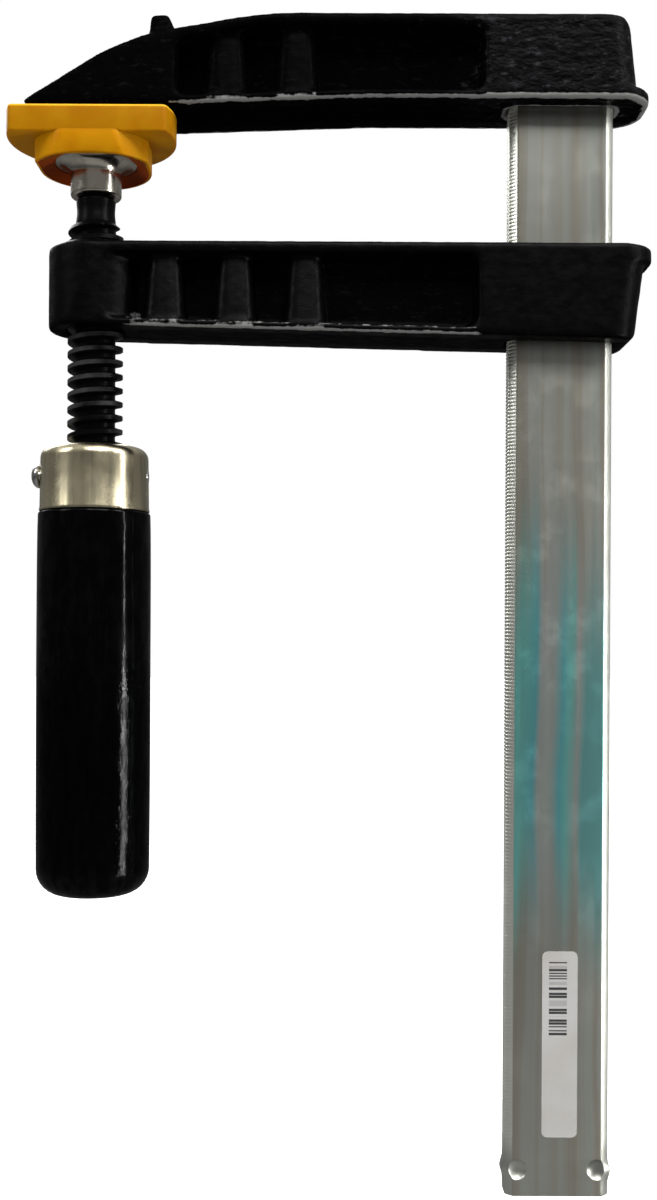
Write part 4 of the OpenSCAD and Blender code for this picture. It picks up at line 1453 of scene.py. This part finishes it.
class CLAMP_OT_stage(bpy.types.Operator):
    """Build the pale floor, the soft studio light and the camera"""

    bl_idname = "clamp.stage"
    bl_label = "Stage"

    def execute(self, context):
        self.floor()
        self.world(context.scene)
        self.lamp("top", (0.25, -0.75, 0.85), (0.07, 0.0, -0.1), (0.8, 0.6), 14)
        self.lamp("fill", (-0.45, -0.6, -0.2), (0.0, 0.0, -0.02), (0.3, 0.15), 2.6, mirrored=False)
        self.lamp("right", (0.8, -0.35, 0.55), (0.06, 0.0, -0.1), (0.3, 0.5), 5)
        self.lamp("left", (-0.8, -0.42, 0.55), (0.05, 0.0, -0.1), (0.3, 0.5), 3)
        self.lamp("right strip", (0.85, -0.27, 0.08), (0.0, 0.0, 0.04), (0.04, 0.46), 1.2)
        self.lamp("low strip", (0.85, -0.27, -0.33), (0.0, 0.0, -0.33), (0.04, 0.34), 3.6)
        self.lamp("back", (-0.4, 0.9, 0.6), (0.07, 0.0, -0.15), (0.9, 0.6), 7)
        self.camera(context.scene)
        context.scene.view_settings.view_transform = "Standard"
        return {"FINISHED"}

    def floor(self):
        """A pale floor below the arm's travel that glows to white away from the clamp."""
        half = 12.0
        height = HANDLE_LOW.z - settings("clamp_stage").floor_gap
        bm = bmesh.new()
        bmesh.ops.create_grid(bm, x_segments=1, y_segments=1, size=half,
                              matrix=Matrix.Translation((0, 0, height)))
        obj = to_object("floor", bm)
        material, tree, shader, place = new_material("pale floor", Specular_IOR_Level=0.0, Roughness=0.9,
                                                     Emission_Color=grey(1.0))
        path = add(tree, "ShaderNodeLightPath").outputs
        seen = path["Is Camera Ray"]
        bounced = blend(tree, path["Is Diffuse Ray"], grey(0.15), grey(0.18))
        feed(tree, shader, Base_Color=blend(tree, seen, bounced, grey(0.9)))
        reach = vector_calc(tree, "LENGTH", place)["Value"]
        feed(tree, shader, Emission_Strength=product(tree, seen, remap(tree, reach, 0.3, 0.9)))
        obj.data.materials.append(material)

    def world(self, scene):
        """A dome that is dim below and bright above, and plain white where the camera sees it."""
        world = bpy.data.worlds.new("studio")
        scene.world = world
        world.use_nodes = True
        tree = world.node_tree
        tree.nodes.clear()
        up = split(tree, add(tree, "ShaderNodeTexCoord").outputs["Generated"])["Z"]
        levels = [(0.0, 0.14), (0.46, 0.15), (0.6, 0.17), (1.0, 0.7)]
        dome_light = ramp(tree, remap(tree, up, -1.0, 1.0, kind="LINEAR"),
                          [(place, grey(level)) for place, level in levels])
        light = add(tree, "ShaderNodeBackground", {"Color": dome_light, "Strength": 1.0})
        pale = add(tree, "ShaderNodeBackground", {"Color": (*grey(1.0), 1.0), "Strength": 1.0})
        seen = add(tree, "ShaderNodeLightPath").outputs["Is Camera Ray"]
        mix = add(tree, "ShaderNodeMixShader", {0: seen, 1: light.outputs[0], 2: pale.outputs[0]})
        add(tree, "ShaderNodeOutputWorld", {"Surface": mix.outputs[0]})

    def lamp(self, name, place, target, size, power, mirrored=True):
        """A rectangular lamp that points at a target."""
        data = bpy.data.lights.new(name, "AREA")
        data.shape = "RECTANGLE"
        data.size, data.size_y = size
        data.energy = power
        obj = bpy.data.objects.new(name, data)
        obj.location = place
        obj.rotation_euler = (Vector(target) - Vector(place)).to_track_quat("-Z", "Y").to_euler()
        obj.visible_glossy = mirrored
        obj.visible_camera = False
        bpy.context.scene.collection.objects.link(obj)

    def camera(self, scene):
        """The camera at the photograph's viewing angle."""
        stage = settings("clamp_stage")
        height = PHOTO_SIZE[1]
        data = bpy.data.cameras.new("camera")
        data.sensor_width = 36.0
        data.sensor_fit = "AUTO"
        data.lens = data.sensor_width * stage.focal_pixels / height
        data.shift_y = (stage.axis_row - height / 2) / height
        obj = bpy.data.objects.new("camera", data)
        obj.location = (stage.camera_x, -stage.distance, -stage.camera_drop)
        obj.rotation_euler = (math.radians(90), stage.roll, 0)
        scene.collection.objects.link(obj)
        scene.camera = obj


class CLAMP_PT_pieces(bpy.types.Panel):
    """The clamp's pieces"""

    bl_label = "Bar clamp"
    bl_space_type = "VIEW_3D"
    bl_region_type = "UI"
    bl_category = "Clamp"

    def draw(self, context):
        for operator in OPERATORS:
            self.layout.operator(operator.bl_idname)


GROUPS = {
    "clamp_rail": RailSettings,
    "clamp_arm": ArmSettings,
    "clamp_spindle": SpindleSettings,
    "clamp_handle": HandleSettings,
    "clamp_finish": FinishSettings,
    "clamp_stage": StageSettings,
}
OPERATORS = (
    CLAMP_OT_stage,
    CLAMP_OT_rail,
    CLAMP_OT_label,
    CLAMP_OT_fixed_arm,
    CLAMP_OT_sliding_arm,
    CLAMP_OT_spindle,
    CLAMP_OT_swivel_plate,
    CLAMP_OT_pad_cap,
    CLAMP_OT_handle,
)
CLASSES = (*GROUPS.values(), *OPERATORS, CLAMP_PT_pieces)


def register():
    """Register the classes and attach the settings to the scene."""
    for entry in CLASSES:
        bpy.utils.register_class(entry)
    for name, group in GROUPS.items():
        setattr(bpy.types.Scene, name, PointerProperty(type=group))


def unregister():
    """Detach the settings and unregister the classes."""
    for name in GROUPS:
        delattr(bpy.types.Scene, name)
    for entry in reversed(CLASSES):
        bpy.utils.unregister_class(entry)


def main():
    """Build every piece."""
    register()
    for operator in OPERATORS:
        family, name = operator.bl_idname.split(".")
        getattr(getattr(bpy.ops, family), name)()


if __name__ == "__main__":
    main()
